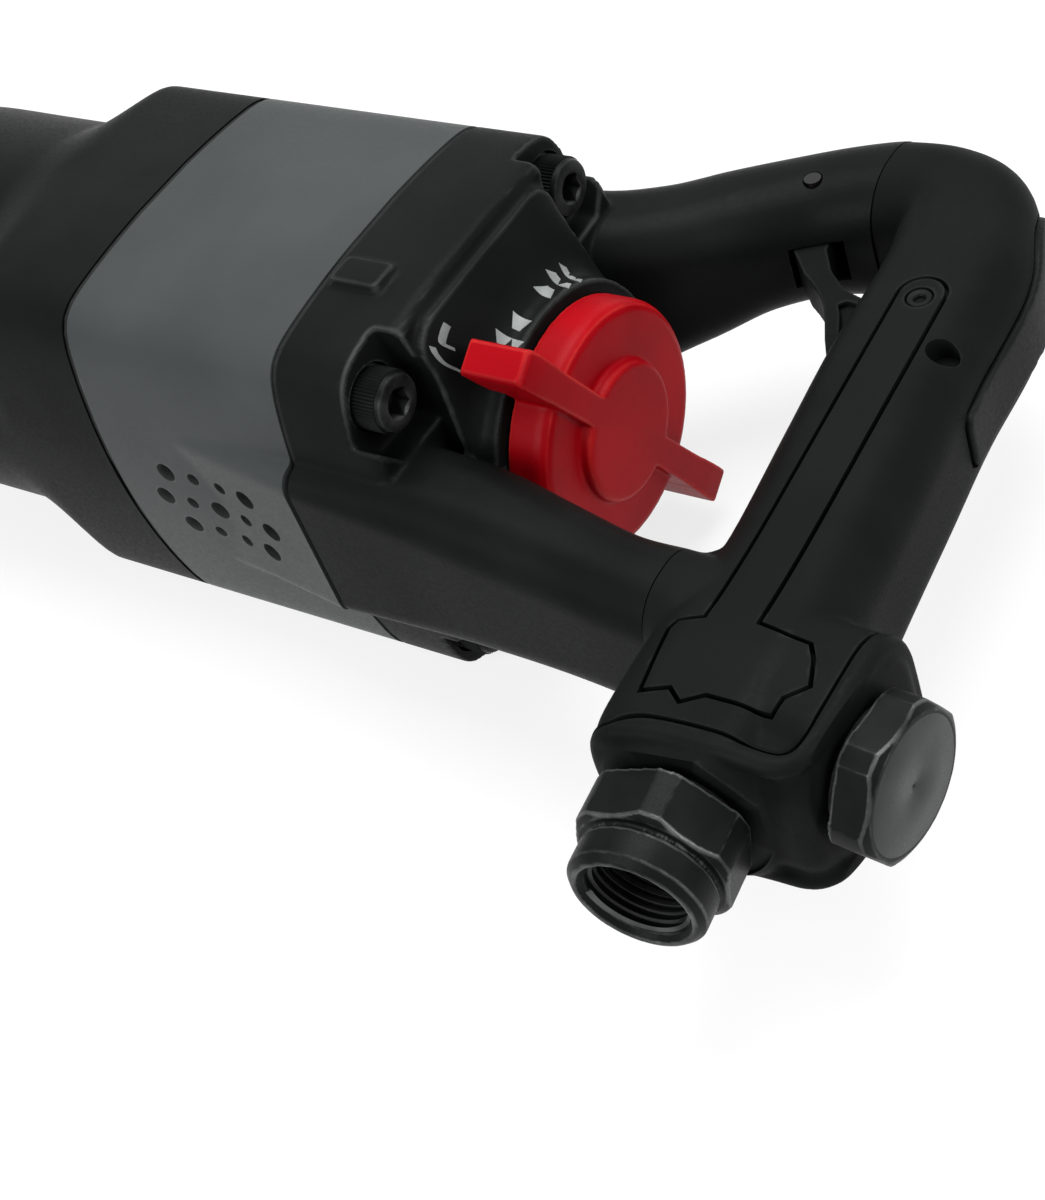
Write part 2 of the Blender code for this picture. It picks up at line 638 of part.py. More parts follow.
def build_motor_housing():
    housing = loft("motor_housing", [
        body_ring(X_MOTOR_FRONT),
        body_ring(X_MOTOR_BACK),
    ])
    finish(housing, GREY_PAINT)
    for name, sign in (("upper", 1), ("lower", -1)):
        steps = ((1, -0.6), (0.55, 0.15), (0, 1))
        rings = [keel_ring(X_MOTOR_BACK + KEEL_RUN * run, sign, rise) for run, rise in steps]
        join(housing, helper(loft("keel_" + name, rings)))
    cut(housing, helper(rod("motor_bore", MOTOR_BORE_RADIUS, X_MOTOR_BACK - OVERCUT, X_MOTOR_FRONT + OVERCUT)))
    roof = MOTOR_BORE_RADIUS / 2
    floor = HALF_HEIGHT - EXHAUST_WALL
    middle = X_MOTOR_FRONT - VENT_SET_BACK
    reach = 2 * VENT_PITCH + VENT_BIG_RADIUS + EXHAUST_WALL
    chamber = loft("exhaust_chamber", [
        cross_ring(x, EXHAUST_HALF_WIDTH, (floor - roof) / 2, 2 * MM, -(floor + roof) / 2)
        for x in (middle + reach, middle - reach)
    ])
    cut(housing, helper(chamber))
    for name, y, z in corners():
        at = Vector((0, y * BOLT_OFFSET, z * BOLT_OFFSET))
        hole = rod("motor_hole_" + name, BOLT_HOLE_RADIUS, X_MOTOR_BACK - OVERCUT, X_MOTOR_FRONT + OVERCUT,
                   at, FORWARD, SMALL_SIDES)
        cut(housing, helper(hole))
    for i, (x, y, radius) in enumerate(vent_holes()):
        vent = rod(f"vent_{i}", radius, -KEEL_DEPTH - OVERCUT, -MOTOR_BORE_RADIUS, Vector((x, y, 0)), UP, 12)
        cut(housing, helper(vent))


def build_air_motor():
    liner_front = X_MOTOR_FRONT - PLATE_LENGTH - FIT
    liner_back = X_MOTOR_BACK + PLATE_LENGTH + FIT
    liner_outer = MOTOR_BORE_RADIUS - FIT
    liner = rod("cylinder_liner", liner_outer, liner_back, liner_front)
    finish(liner, BRIGHT_STEEL)
    cut(liner, helper(rod("liner_bore", LINER_BORE_RADIUS, liner_back - OVERCUT, liner_front + OVERCUT,
                          Vector((0, 0, LINER_OFFSET)))))
    for k in (-1, 0, 1):
        middle = (liner_front + liner_back) / 2 + k * EXHAUST_PORT_PITCH
        port = rounded(EXHAUST_PORT_HALF_WIDTH, 3 * LINER_WALL, LINER_WALL / 2)
        outline = [(a, b - liner_outer) for a, b in port]
        half = EXHAUST_PORT_LENGTH / 2
        cut(liner, helper(prism(f"exhaust_port_{k + 1}", outline, middle - half, middle + half, "X")))

    rotor_radius = LINER_BORE_RADIUS - LINER_OFFSET - RUNNING
    rotor_front = liner_front - RUNNING
    rotor_back = liner_back + RUNNING
    slot = VANE_THICKNESS / 2 + FIT / 2
    profile = [
        (0, X_WINDOW_BACK - FIT), (SPLINE_RADIUS, X_WINDOW_BACK - FIT),
        (SPLINE_RADIUS, X_MOTOR_FRONT + OVERCUT), (SHAFT_FRONT_RADIUS, X_MOTOR_FRONT + OVERCUT),
        (SHAFT_FRONT_RADIUS, rotor_front), (rotor_radius, rotor_front), (rotor_radius, rotor_back),
        (SHAFT_REAR_RADIUS, rotor_back), (SHAFT_REAR_RADIUS, X_MOTOR_BACK - OVERCUT), (0, X_MOTOR_BACK - OVERCUT),
    ]
    rotor = finish(turned("rotor", profile), BRIGHT_STEEL)
    slot_floor = rotor_radius - VANE_HEIGHT - FIT
    for k in range(VANES):
        turn = Matrix.Rotation(2 * math.pi * k / VANES, 4, "X")
        outline = [(-slot, slot_floor), (slot, slot_floor), (slot, rotor_radius + OVERCUT), (-slot, rotor_radius + OVERCUT)]
        groove = prism(f"vane_slot_{k}", outline, rotor_back - OVERCUT, rotor_front + OVERCUT, "X")
        groove.matrix_local = turn
        cut(rotor, helper(groove))
        half = VANE_THICKNESS / 2
        top = rotor_radius - FIT
        outline = [(-half, top - VANE_HEIGHT), (half, top - VANE_HEIGHT), (half, top), (-half, top)]
        vane = prism(f"vane_{k + 1}", outline, rotor_back, rotor_front, "X")
        vane.matrix_local = turn
        finish(vane, PHENOLIC, smooth=False)

    for name, shaft, low, high in (
        ("front", SHAFT_FRONT_RADIUS, X_MOTOR_FRONT - PLATE_LENGTH, X_MOTOR_FRONT),
        ("rear", SHAFT_REAR_RADIUS, X_MOTOR_BACK, X_MOTOR_BACK + PLATE_LENGTH),
    ):
        inner = shaft + FIT
        outer = inner + BEARING_WALL
        middle = (low + high) / 2
        finish(tube(name + "_end_plate", outer + FIT, liner_outer, low, high), BRIGHT_STEEL)
        half = BEARING_LENGTH / 2
        finish(tube(name + "_bearing", inner, outer, middle - half, middle + half), BRIGHT_STEEL)


def pocket_outline(y, z):
    """The recess round a cap screw's head."""
    return [(y * (BOLT_OFFSET + out), z * (BOLT_OFFSET + away)) for out, away in POCKET_SHAPE]


LOWER_ARM = (
    (-50 * MM, KEEL_EDGE + ARM_ROOT - KEEL_DEPTH, KEEL_EDGE + ARM_ROOT, KEEL_HALF_WIDTH, KEEL_EDGE),
    (-22 * MM, -41.2 * MM, 12 * MM, 22.5 * MM, 9 * MM),
    (-5 * MM, -42 * MM, 12.3 * MM, 21.5 * MM, 10 * MM),
    (14 * MM, -44.5 * MM, 11.3 * MM, 20 * MM, 10 * MM),
    (30 * MM, -46.8 * MM, 10.8 * MM, 19 * MM, 10 * MM),
    (LOWER_SEAM, -47.6 * MM, 11.4 * MM, 19 * MM, 10 * MM),
)
UPPER_ARM = (
    (-50 * MM, KEEL_DEPTH - KEEL_EDGE - ARM_ROOT, KEEL_EDGE + ARM_ROOT, KEEL_HALF_WIDTH, KEEL_EDGE),
    (-29 * MM, 43 * MM, 12.5 * MM, 22 * MM, 9 * MM),
    (-14 * MM, 52.5 * MM, 13.5 * MM, 19 * MM, 11.5 * MM),
    (-2 * MM, 63.5 * MM, 14 * MM, 17 * MM, 13 * MM),
    (11 * MM, 71.8 * MM, 14 * MM, 16.5 * MM, 13.5 * MM),
    (20 * MM, 75.6 * MM, 13.8 * MM, 17 * MM, 13 * MM),
    (UPPER_SEAM, 78.5 * MM, 13.5 * MM, 17.5 * MM, 12 * MM),
)


def build_handle_housing():
    cover = loft("handle_housing", [
        body_ring(X_COVER_FRONT),
        body_ring(X_COVER_BACK + 4 * MM),
        body_ring(X_COVER_BACK, 3 * MM),
    ])
    finish(cover, BLACK_PAINT)
    profile = [(0, X_COVER_FRONT - 4 * MM), (DIAL_BASE_RADIUS, X_COVER_FRONT - 4 * MM),
               (DIAL_BASE_RADIUS, X_COVER_BACK), (DIAL_RADIUS, X_COVER_BACK - 5 * MM),
               (DIAL_RADIUS, X_DIAL_BACK), (0, X_DIAL_BACK)]
    join(cover, helper(turned("dial_collar", profile)))
    for name, y, z in corners():
        outline = pocket_outline(y, z)
        cut(cover, helper(prism("screw_pocket_" + name, outline, X_COVER_BACK - OVERCUT, X_POCKET, "X")))
    join(cover, helper(swept("lower_arm", LOWER_ARM, last=-FORWARD)),
         helper(swept("upper_arm", UPPER_ARM, last=-FORWARD)))
    for name, y, z in corners():
        at = Vector((0, y * BOLT_OFFSET, z * BOLT_OFFSET))
        well = rod("screw_well_" + name, WASHER_RADIUS + 2 * FIT, X_COVER_BACK - 3 * BOLT_HEAD_LENGTH, X_POCKET,
                   at, FORWARD, SMALL_SIDES)
        hole = rod("cover_hole_" + name, BOLT_HOLE_RADIUS, X_POCKET - OVERCUT, X_COVER_FRONT + OVERCUT,
                   at, FORWARD, SMALL_SIDES)
        cut(cover, helper(well), helper(hole))
    face = loft("cover_face_cut", [
        cross_ring(x, HALF_WIDTH * 2, HALF_WIDTH * 2, FIT) for x in (X_COVER_FRONT, X_COVER_FRONT + COVER_LENGTH)
    ])
    cut(cover, helper(face))
    cavity = rod("cover_cavity", COVER_CAVITY_RADIUS, X_COVER_FRONT - COVER_CAVITY_LENGTH, X_COVER_FRONT + OVERCUT)
    spool_bore = rod("spool_bore", SPOOL_RADIUS + FIT, X_DIAL_BACK - OVERCUT, X_COVER_FRONT)
    sweep = rod("knob_sweep", KNOB_RIM_RADIUS + 2 * MM, X_KNOB - KNOB_LENGTH, X_DIAL_BACK)
    cut(cover, helper(cavity), helper(spool_bore), helper(sweep))
    pivot = behind(TRIGGER_PIVOT_REACH, TRIGGER_PIVOT_HEIGHT)
    half = TRIGGER_HALF_WIDTH + 2 * FIT
    eye = TRIGGER_EYE_RADIUS + 3 * FIT
    slot = [(pivot.x + eye, pivot.z + eye), (pivot.x - eye - 0.5 * MM, pivot.z + eye),
            (pivot.x - 10.5 * MM, pivot.z - 12.5 * MM), (pivot.x - 16 * MM, pivot.z - 20 * MM),
            (pivot.x + 1 * MM, pivot.z - 20 * MM), (pivot.x + 2.2 * MM, pivot.z - 12.5 * MM),
            (pivot.x + eye, pivot.z - 5 * MM)]
    pin_hole = rod("pivot_hole", TRIGGER_PIN_RADIUS + FIT, -3 * GRIP_HALF_WIDTH, 3 * GRIP_HALF_WIDTH, pivot, LEFT, 12)
    cut(cover, helper(prism("trigger_slot_arm", slot, -half, half, "Y")), helper(pin_hole))


def build_knob():
    edge = 1.6 * MM
    profile = [
        (0, X_KNOB - KNOB_BOSS_HEIGHT), (KNOB_BOSS_RADIUS - edge / 2, X_KNOB - KNOB_BOSS_HEIGHT),
        (KNOB_BOSS_RADIUS, X_KNOB - KNOB_BOSS_HEIGHT + edge / 2), (KNOB_BOSS_RADIUS, X_KNOB),
        (KNOB_FACE_RADIUS, X_KNOB), (KNOB_RIM_RADIUS, X_KNOB + edge), (KNOB_RIM_RADIUS, X_KNOB + KNOB_LENGTH),
        (0, X_KNOB + KNOB_LENGTH),
    ]
    knob = finish(turned("regulator_knob", profile[::-1]), RED_PLASTIC)
    inner = DIAL_RADIUS + 1.5 * MM
    back = X_KNOB - KNOB_BOSS_HEIGHT
    for k, sign in (("pointer", 1), ("thumb", -1)):
        outline = [(back, 0), (back, WING_REACH), (X_KNOB + WING_FORWARD, WING_REACH),
                   (X_KNOB + WING_FORWARD, inner), (X_KNOB + KNOB_LENGTH, inner),
                   (X_KNOB + KNOB_LENGTH, KNOB_BOSS_RADIUS), (X_KNOB + edge, KNOB_BOSS_RADIUS), (X_KNOB + edge, 0)]
        wing = prism("wing_" + k, outline, -WING_HALF_THICKNESS, WING_HALF_THICKNESS, "Y")
        turn = WING_ANGLE - math.pi / 2 + (0 if sign > 0 else math.pi)
        wing.matrix_local = Matrix.Rotation(turn, 4, "X")
        join(knob, helper(wing))
    cut(knob, helper(rod("knob_bore", SPOOL_STUB_RADIUS + FIT, X_KNOB + KNOB_LENGTH - SPOOL_STUB_LENGTH - FIT,
                         X_KNOB + KNOB_LENGTH + OVERCUT)))
    spool_front = X_COVER_FRONT - COVER_CAVITY_LENGTH + 4 * MM
    middle = (spool_front + X_DIAL_BACK) / 2
    groove = 4 * MM
    profile = [
        (0, spool_front), (SPOOL_RADIUS, spool_front), (SPOOL_RADIUS, middle + groove),
        (SPOOL_RADIUS - 3 * MM, middle + groove), (SPOOL_RADIUS - 3 * MM, middle - groove),
        (SPOOL_RADIUS, middle - groove), (SPOOL_RADIUS, X_DIAL_BACK), (SPOOL_STUB_RADIUS, X_DIAL_BACK),
        (SPOOL_STUB_RADIUS, X_DIAL_BACK - FIT - SPOOL_STUB_LENGTH), (0, X_DIAL_BACK - FIT - SPOOL_STUB_LENGTH),
    ]
    finish(turned("reverse_valve_spool", profile), BRONZE)


def build_cap_screws():
    seat = X_POCKET - WASHER_LENGTH - 2 * FIT
    tip = X_CASE_BACK + BOLT_ENGAGEMENT
    edge = 0.6 * MM
    profile = [
        (0, tip), (BOLT_RADIUS, tip), (BOLT_RADIUS, seat), (BOLT_HEAD_RADIUS, seat),
        (BOLT_HEAD_RADIUS, seat - BOLT_HEAD_LENGTH + edge), (BOLT_HEAD_RADIUS - edge, seat - BOLT_HEAD_LENGTH),
        (0, seat - BOLT_HEAD_LENGTH),
    ]
    pattern = helper(turned("cap_screw_pattern", profile, sides=18))
    low = seat - BOLT_HEAD_LENGTH - OVERCUT
    socket = turned("cap_screw_socket", [(0, low + OVERCUT + BOLT_SOCKET_DEPTH),
                                         (BOLT_SOCKET_RADIUS, low + OVERCUT + BOLT_SOCKET_DEPTH),
                                         (BOLT_SOCKET_RADIUS, low), (0, low)], sides=6)
    cut(pattern, helper(socket))
    mesh = solid_mesh(pattern, "cap_screw")
    for name, y, z in corners():
        at = Vector((0, y * BOLT_OFFSET, z * BOLT_OFFSET))
        screw = bpy.data.objects.new("cap_screw_" + name, mesh.copy())
        screw.matrix_local = along(FORWARD, at)
        finish(screw, BLACK_STEEL)
        low = X_POCKET - FIT - WASHER_LENGTH
        washer = tube("lock_washer_" + name, BOLT_RADIUS + FIT, WASHER_RADIUS, low, low + WASHER_LENGTH, at,
                      FORWARD, 18)
        finish(washer, BLACK_STEEL)


GRIP = (
    (UPPER_SEAM + FIT, 78.55 * MM, 13.5 * MM, 17.5 * MM, 12 * MM),
    (41 * MM, 77.5 * MM, 14 * MM, 18.2 * MM, 11.5 * MM),
    (49.5 * MM, 72.5 * MM, 15 * MM, 18.8 * MM, 11 * MM),
    (54 * MM, 63 * MM, 16.2 * MM, GRIP_HALF_WIDTH, 11.5 * MM),
    (56.5 * MM, 50 * MM, 17 * MM, GRIP_HALF_WIDTH, 11.8 * MM),
    (57.5 * MM, 25 * MM, 17 * MM, GRIP_HALF_WIDTH, 11.8 * MM),
    (GRIP_REACH, 0, 17 * MM, GRIP_HALF_WIDTH, 11.8 * MM),
    (63 * MM, -30 * MM, 17 * MM, GRIP_HALF_WIDTH, 11.8 * MM),
    (64 * MM, -46 * MM, 18 * MM, GRIP_HALF_WIDTH + 0.6 * MM, 11 * MM),
    (64.2 * MM, -60 * MM, 18 * MM, BADGE_HALF_WIDTH, 9 * MM),
    (64.4 * MM, -82 * MM, 17.6 * MM, BADGE_HALF_WIDTH - 0.6 * MM, 11 * MM),
    (64.9 * MM, -86.5 * MM, 15.5 * MM, BADGE_HALF_WIDTH - 3.5 * MM, 11 * MM),
)
ELBOW = (
    (LOWER_SEAM + FIT, -47.6 * MM, 11.4 * MM, 19 * MM, 10 * MM),
    (LOWER_SEAM + 7 * MM, -49 * MM, 13 * MM, 18.9 * MM, 10 * MM),
    (LOWER_SEAM + 21 * MM, -54 * MM, 18 * MM, GRIP_HALF_WIDTH - 0.1 * MM, 9 * MM),
)
PAD_SIDE = ((5 * MM, 15.2 * MM), (7 * MM, 16.8 * MM), (7.4 * MM, 19.5 * MM), (7.6 * MM, 36 * MM), (8.2 * MM, 50 * MM),
            (9.4 * MM, 57.5 * MM), (11 * MM, 63 * MM), (11.4 * MM, 69 * MM), (9 * MM, 76 * MM), (4 * MM, 79 * MM))
BADGE = ((58 * MM, 52 * MM), (58 * MM, 56.4 * MM), (53.5 * MM, 58.7 * MM), (52.7 * MM, 61 * MM),
         (55.2 * MM, 76 * MM), (60.3 * MM, 73.6 * MM), (63.5 * MM, 76 * MM), (67.6 * MM, 73.1 * MM),
         (80.6 * MM, 72.8 * MM), (81.1 * MM, 68.8 * MM), (84.5 * MM, 65 * MM), (82.2 * MM, 59.2 * MM),
         (80 * MM, 56 * MM), (68.4 * MM, 54.5 * MM), (68.4 * MM, 52 * MM))
INLAY_FOOT = 53 * MM
BADGE_EXTRA_DEPTH = 1.4 * MM


def inlay_axis(height):
    """The x of the inlay's centre line, which leans with the grip, at a height."""
    return X_KNOB - INLAY_REACH + INLAY_LEAN * height


def strip_outline(grow):
    """The long strip of an inlay with its round top end."""
    half = INLAY_HALF_WIDTH + grow
    points = []
    for step in range(9):
        angle = math.pi * step / 8
        points.append((inlay_axis(INLAY_TOP) + half * math.cos(angle), INLAY_TOP + half * math.sin(angle)))
    low = -INLAY_FOOT - grow
    return points + [(inlay_axis(low) - half, low), (inlay_axis(low) + half, low)]


def grown(outline, grow):
    """An outline with every edge moved outwards by the same distance."""
    points = [Vector(point) for point in outline]
    area = sum(a.x * b.y - b.x * a.y for a, b in zip(points, points[1:] + points[:1]))
    side = math.copysign(1, area)
    moved = []
    for before, point, after in zip(points[-1:] + points[:-1], points, points[1:] + points[:1]):
        into = (point - before).normalized()
        out = (after - point).normalized()
        first = Vector((into.y, -into.x)) * side
        second = Vector((out.y, -out.x)) * side
        moved.append(tuple(point + (first + second) * (grow / (1 + first.dot(second)))))
    return moved


def badge_outline(grow):
    """The plate at an inlay's lower end."""
    return grown([(X_KNOB - reach, -drop) for reach, drop in BADGE], grow)


def fuller(stations, grow):
    """The stations of a sweep with its section grown on every side."""
    return [(reach, height, *(size + grow for size in sizes)) for reach, height, *sizes in stations]


def pad_zone(name, grow):
    """The block that the rear pad is cut from, seen from behind."""
    half = [(side + grow, height + (-grow if height < PAD_SIDE[1][1] else 0)) for side, height in PAD_SIDE]
    outline = half + [(-side, height) for side, height in half[::-1]]
    return prism(name, outline, X_KNOB - PAD_BEHIND, X_KNOB - PAD_ROOT, "X")


def build_grip():
    grip = finish(swept("grip", GRIP, first=-FORWARD), BLACK_RUBBER)
    elbow = swept("grip_elbow", ELBOW, first=-FORWARD)
    plug_at = behind(PLUG_REACH, -PLUG_DROP)
    seat = PLUG_HEX_LENGTH + ORING_LENGTH + 2 * FIT
    boss_rings = []
    rise = PLUG_FORWARD.cross(LEFT)
    for reach, less in ((PLUG_REACH - PLUG_BOSS_ROOT, FIT), (seat + 4 * MM, 0), (seat + OVERCUT, 1.5 * MM), (seat, 4 * MM)):
        centre = plug_at + PLUG_FORWARD * reach + rise * PLUG_BOSS_RISE
        ring = rounded(PLUG_BOSS_HALF - less, PLUG_BOSS_HALF_HEIGHT - less, PLUG_BOSS_CORNER)
        boss_rings.append([centre + LEFT * a + rise * b for a, b in ring])
    join(grip, helper(elbow), helper(loft("plug_boss", boss_rings)))

    pad = finish(swept("rear_pad", fuller(GRIP, PAD_PROUD), first=-FORWARD), BLACK_RUBBER)
    boolean(pad, helper(pad_zone("pad_zone", 0)), "INTERSECT")
    cut(pad, helper(swept("pad_core", fuller(GRIP, -PAD_DEPTH), first=-FORWARD)))
    recess = helper(pad_zone("pad_recess", FIT))
    cut(recess, helper(swept("pad_floor", fuller(GRIP, -PAD_DEPTH - FIT), first=-FORWARD)))
    hole = rod("cross_hole", CROSS_HOLE_RADIUS, GRIP_HALF_WIDTH - CROSS_HOLE_DEPTH, 2 * GRIP_HALF_WIDTH,
               behind(CROSS_HOLE_REACH, CROSS_HOLE_HEIGHT), LEFT, SMALL_SIDES)
    cut(grip, recess, helper(hole))

    mouth = behind(INLET_REACH, -INLET_DROP)
    inlet_seat = INLET_COLLAR_LENGTH + INLET_HEX_LENGTH + ORING_LENGTH + 2 * FIT
    shank_top = inlet_seat + INLET_SHANK_LENGTH
    passage_top = (VALVE_HEIGHT + INLET_DROP) / math.cos(GRIP_RAKE)
    passage = rod("air_passage", AIR_PASSAGE_RADIUS, inlet_seat, passage_top, mouth - FORWARD * 1.5 * MM, GRIP_UP,
                  SMALL_SIDES)
    socket = rod("inlet_socket", INLET_SHANK_RADIUS + FIT, inlet_seat - 8 * MM, shank_top + OVERCUT, mouth, GRIP_UP)
    foot = rod("inlet_foot", INLET_SHANK_RADIUS * 3, inlet_seat - 20 * MM, inlet_seat, mouth, GRIP_UP)
    oil = rod("oil_reservoir", PLUG_SHANK_RADIUS + FIT, seat - OVERCUT, seat + PLUG_SHANK_LENGTH + 4 * MM, plug_at,
              PLUG_FORWARD)
    spot_face = rod("plug_spot_face", 2 * PLUG_BOSS_HALF, -PLUG_BOSS_HALF, seat - FIT / 2, plug_at,
                    PLUG_FORWARD)
    cut(grip, helper(passage), helper(foot), helper(socket), helper(oil), helper(spot_face))

    valve_at = behind(0, VALVE_HEIGHT)
    slot_back = TRIGGER_BACK + TRIGGER_STROKE
    chamber = rod("valve_chamber", VALVE_BORE_RADIUS, -PAD_BEHIND, -slot_back - VALVE_WALL, valve_at, FORWARD, SMALL_SIDES)
    guide = rod("valve_guide", VALVE_STEM_RADIUS + FIT, -slot_back - VALVE_WALL - OVERCUT, -slot_back + OVERCUT,
                valve_at, FORWARD, 16)
    half = TRIGGER_HALF_WIDTH + 2 * FIT
    corner = TRIGGER_SLOT_CORNER
    slot = [(X_KNOB - TRIGGER_SLOT_FRONT, TRIGGER_SLOT_FLOOR), (X_KNOB - TRIGGER_SLOT_FRONT, TRIGGER_SLOT_TOP),
            (X_KNOB - slot_back + 2 * corner, TRIGGER_SLOT_TOP), (X_KNOB - slot_back, TRIGGER_SLOT_TOP - 2 * corner),
            (X_KNOB - slot_back, TRIGGER_SLOT_FLOOR + corner), (X_KNOB - slot_back + corner, TRIGGER_SLOT_FLOOR)]
    cut(grip, helper(prism("trigger_slot", slot, -half, half, "Y")), helper(chamber), helper(guide))

    for name, sign in (("left", 1), ("right", -1)):
        depths = sorted((sign * (GRIP_HALF_WIDTH - INLAY_DEPTH), sign * (GRIP_HALF_WIDTH + INLAY_PROUD)))
        badge_floor = BADGE_HALF_WIDTH - INLAY_DEPTH - BADGE_EXTRA_DEPTH
        badge_depths = sorted((sign * badge_floor, sign * (BADGE_HALF_WIDTH + INLAY_PROUD)))
        inlay = finish(prism(name + "_inlay", strip_outline(0), *depths, "Y"), BLACK_RUBBER)
        badge = prism(name + "_badge_plate", badge_outline(0), *badge_depths, "Y")
        join(inlay, helper(badge))
        far = sign * 2 * BADGE_HALF_WIDTH
        strip_bed = sorted((sign * (GRIP_HALF_WIDTH - INLAY_DEPTH - FIT), far))
        badge_bed = sorted((sign * (badge_floor - FIT), far))
        cut(grip,
            helper(prism(name + "_strip_bed", strip_outline(FIT), *strip_bed, "Y")),
            helper(prism(name + "_badge_bed", badge_outline(FIT), *badge_bed, "Y")))
        out = LEFT * sign
        screw_at = Vector((inlay_axis(INLAY_TOP), 0, INLAY_TOP - 1 * MM))
        top = GRIP_HALF_WIDTH + INLAY_PROUD
        floor = top - INLAY_SCREW_HEAD
        profile = [(0, top - FIT), (INLAY_SCREW_RADIUS, top - FIT), (INLAY_SCREW_RADIUS, floor),
                   (INLAY_SCREW_SHANK, floor), (INLAY_SCREW_SHANK, floor - INLAY_SCREW_LENGTH),
                   (0, floor - INLAY_SCREW_LENGTH)]
        finish(turned(name + "_inlay_screw", profile, screw_at, out, 16), BLACK_STEEL)
        counterbore = rod(name + "_counterbore", INLAY_SCREW_RADIUS + FIT, floor - FIT, top + OVERCUT, screw_at, out, 16)
        shank_hole = rod(name + "_shank_hole", INLAY_SCREW_SHANK + FIT, floor - INLAY_SCREW_LENGTH - FIT,
                         top + OVERCUT, screw_at, out, 12)
        cut(inlay, helper(counterbore), helper(shank_hole))
        cut(grip, shank_hole)


def build_fittings():
    mouth = behind(INLET_REACH, -INLET_DROP)
    hex_top = INLET_COLLAR_LENGTH + INLET_HEX_LENGTH
    inlet = hexagon("inlet_bushing", FITTING_HEX, -hex_top, -INLET_COLLAR_LENGTH, mouth, -GRIP_UP, OVERCUT)
    finish(inlet, BLACK_STEEL)
    chamfer = INLET_COLLAR_RADIUS - INLET_MOUTH_RADIUS
    shank_top = hex_top + ORING_LENGTH + 2 * FIT + INLET_SHANK_LENGTH
    profile = [(0, 0), (INLET_MOUTH_RADIUS, 0), (INLET_COLLAR_RADIUS, -chamfer),
               (INLET_COLLAR_RADIUS, -INLET_COLLAR_LENGTH - OVERCUT), (INLET_SHANK_RADIUS, -INLET_COLLAR_LENGTH - OVERCUT),
               (INLET_SHANK_RADIUS, -shank_top), (0, -shank_top)]
    join(inlet, helper(turned("inlet_body", profile, mouth, -GRIP_UP)))
    bore = turned("inlet_bore", [(0, OVERCUT), (INLET_BORE_RADIUS, OVERCUT), (INLET_BORE_RADIUS, -INLET_BORE_DEPTH),
                                 (INLET_THROAT_RADIUS, -INLET_BORE_DEPTH), (INLET_THROAT_RADIUS, -shank_top - OVERCUT),
                                 (0, -shank_top - OVERCUT)], mouth, -GRIP_UP)
    cut(inlet, helper(bore))
    low = hex_top + FIT
    finish(tube("inlet_oring", INLET_SHANK_RADIUS + FIT, ORING_RADIUS, low, low + ORING_LENGTH, mouth, GRIP_UP), FIBRE)
    rim = INLET_BORE_RADIUS - FIT
    low = INLET_BORE_DEPTH - FIT
    cup = INLET_THROAT_RADIUS - FIT
    profile = [(rim, low), (rim, low - SCREEN_WALL), (cup - SCREEN_WALL, low - SCREEN_WALL),
               (cup - SCREEN_WALL, low + SCREEN_LENGTH), (0, low + SCREEN_LENGTH),
               (0, low + SCREEN_LENGTH + SCREEN_WALL), (cup, low + SCREEN_LENGTH + SCREEN_WALL), (cup, low)]
    screen = turned("inlet_screen", profile[5:] + profile[:5], mouth, GRIP_UP, 24)
    finish(screen, BRONZE)

    plug_at = behind(PLUG_REACH, -PLUG_DROP)
    plug = hexagon("oil_plug", FITTING_HEX, -PLUG_HEX_LENGTH, 0, plug_at, -PLUG_FORWARD, OVERCUT)
    finish(plug, BLACK_STEEL)
    seat = PLUG_HEX_LENGTH + ORING_LENGTH + 2 * FIT
    join(plug, helper(rod("plug_shank", PLUG_SHANK_RADIUS, PLUG_HEX_LENGTH - OVERCUT, seat + PLUG_SHANK_LENGTH, plug_at,
                          PLUG_FORWARD)))
    low = PLUG_HEX_LENGTH + FIT
    finish(tube("plug_seal", PLUG_SHANK_RADIUS + FIT, ORING_RADIUS, low, low + ORING_LENGTH, plug_at, PLUG_FORWARD), FIBRE)


def trigger_outline():
    """The trigger's blade, from the eye at its pivot down to the tail in the grip's slot."""
    pivot = Vector((-TRIGGER_PIVOT_REACH, TRIGGER_PIVOT_HEIGHT))
    points = []
    for step in range(9):
        angle = math.radians(-35) + math.pi * step / 8
        points.append((pivot.x + TRIGGER_EYE_RADIUS * math.cos(angle), pivot.y + TRIGGER_EYE_RADIUS * math.sin(angle)))
    points += [(-reach, height) for reach, height in TRIGGER_REAR_EDGE]
    points += [(-reach, height) for reach, height in TRIGGER_FRONT_EDGE]
    return [(a + TRIGGER_PIVOT_REACH, b - TRIGGER_PIVOT_HEIGHT) for a, b in points]


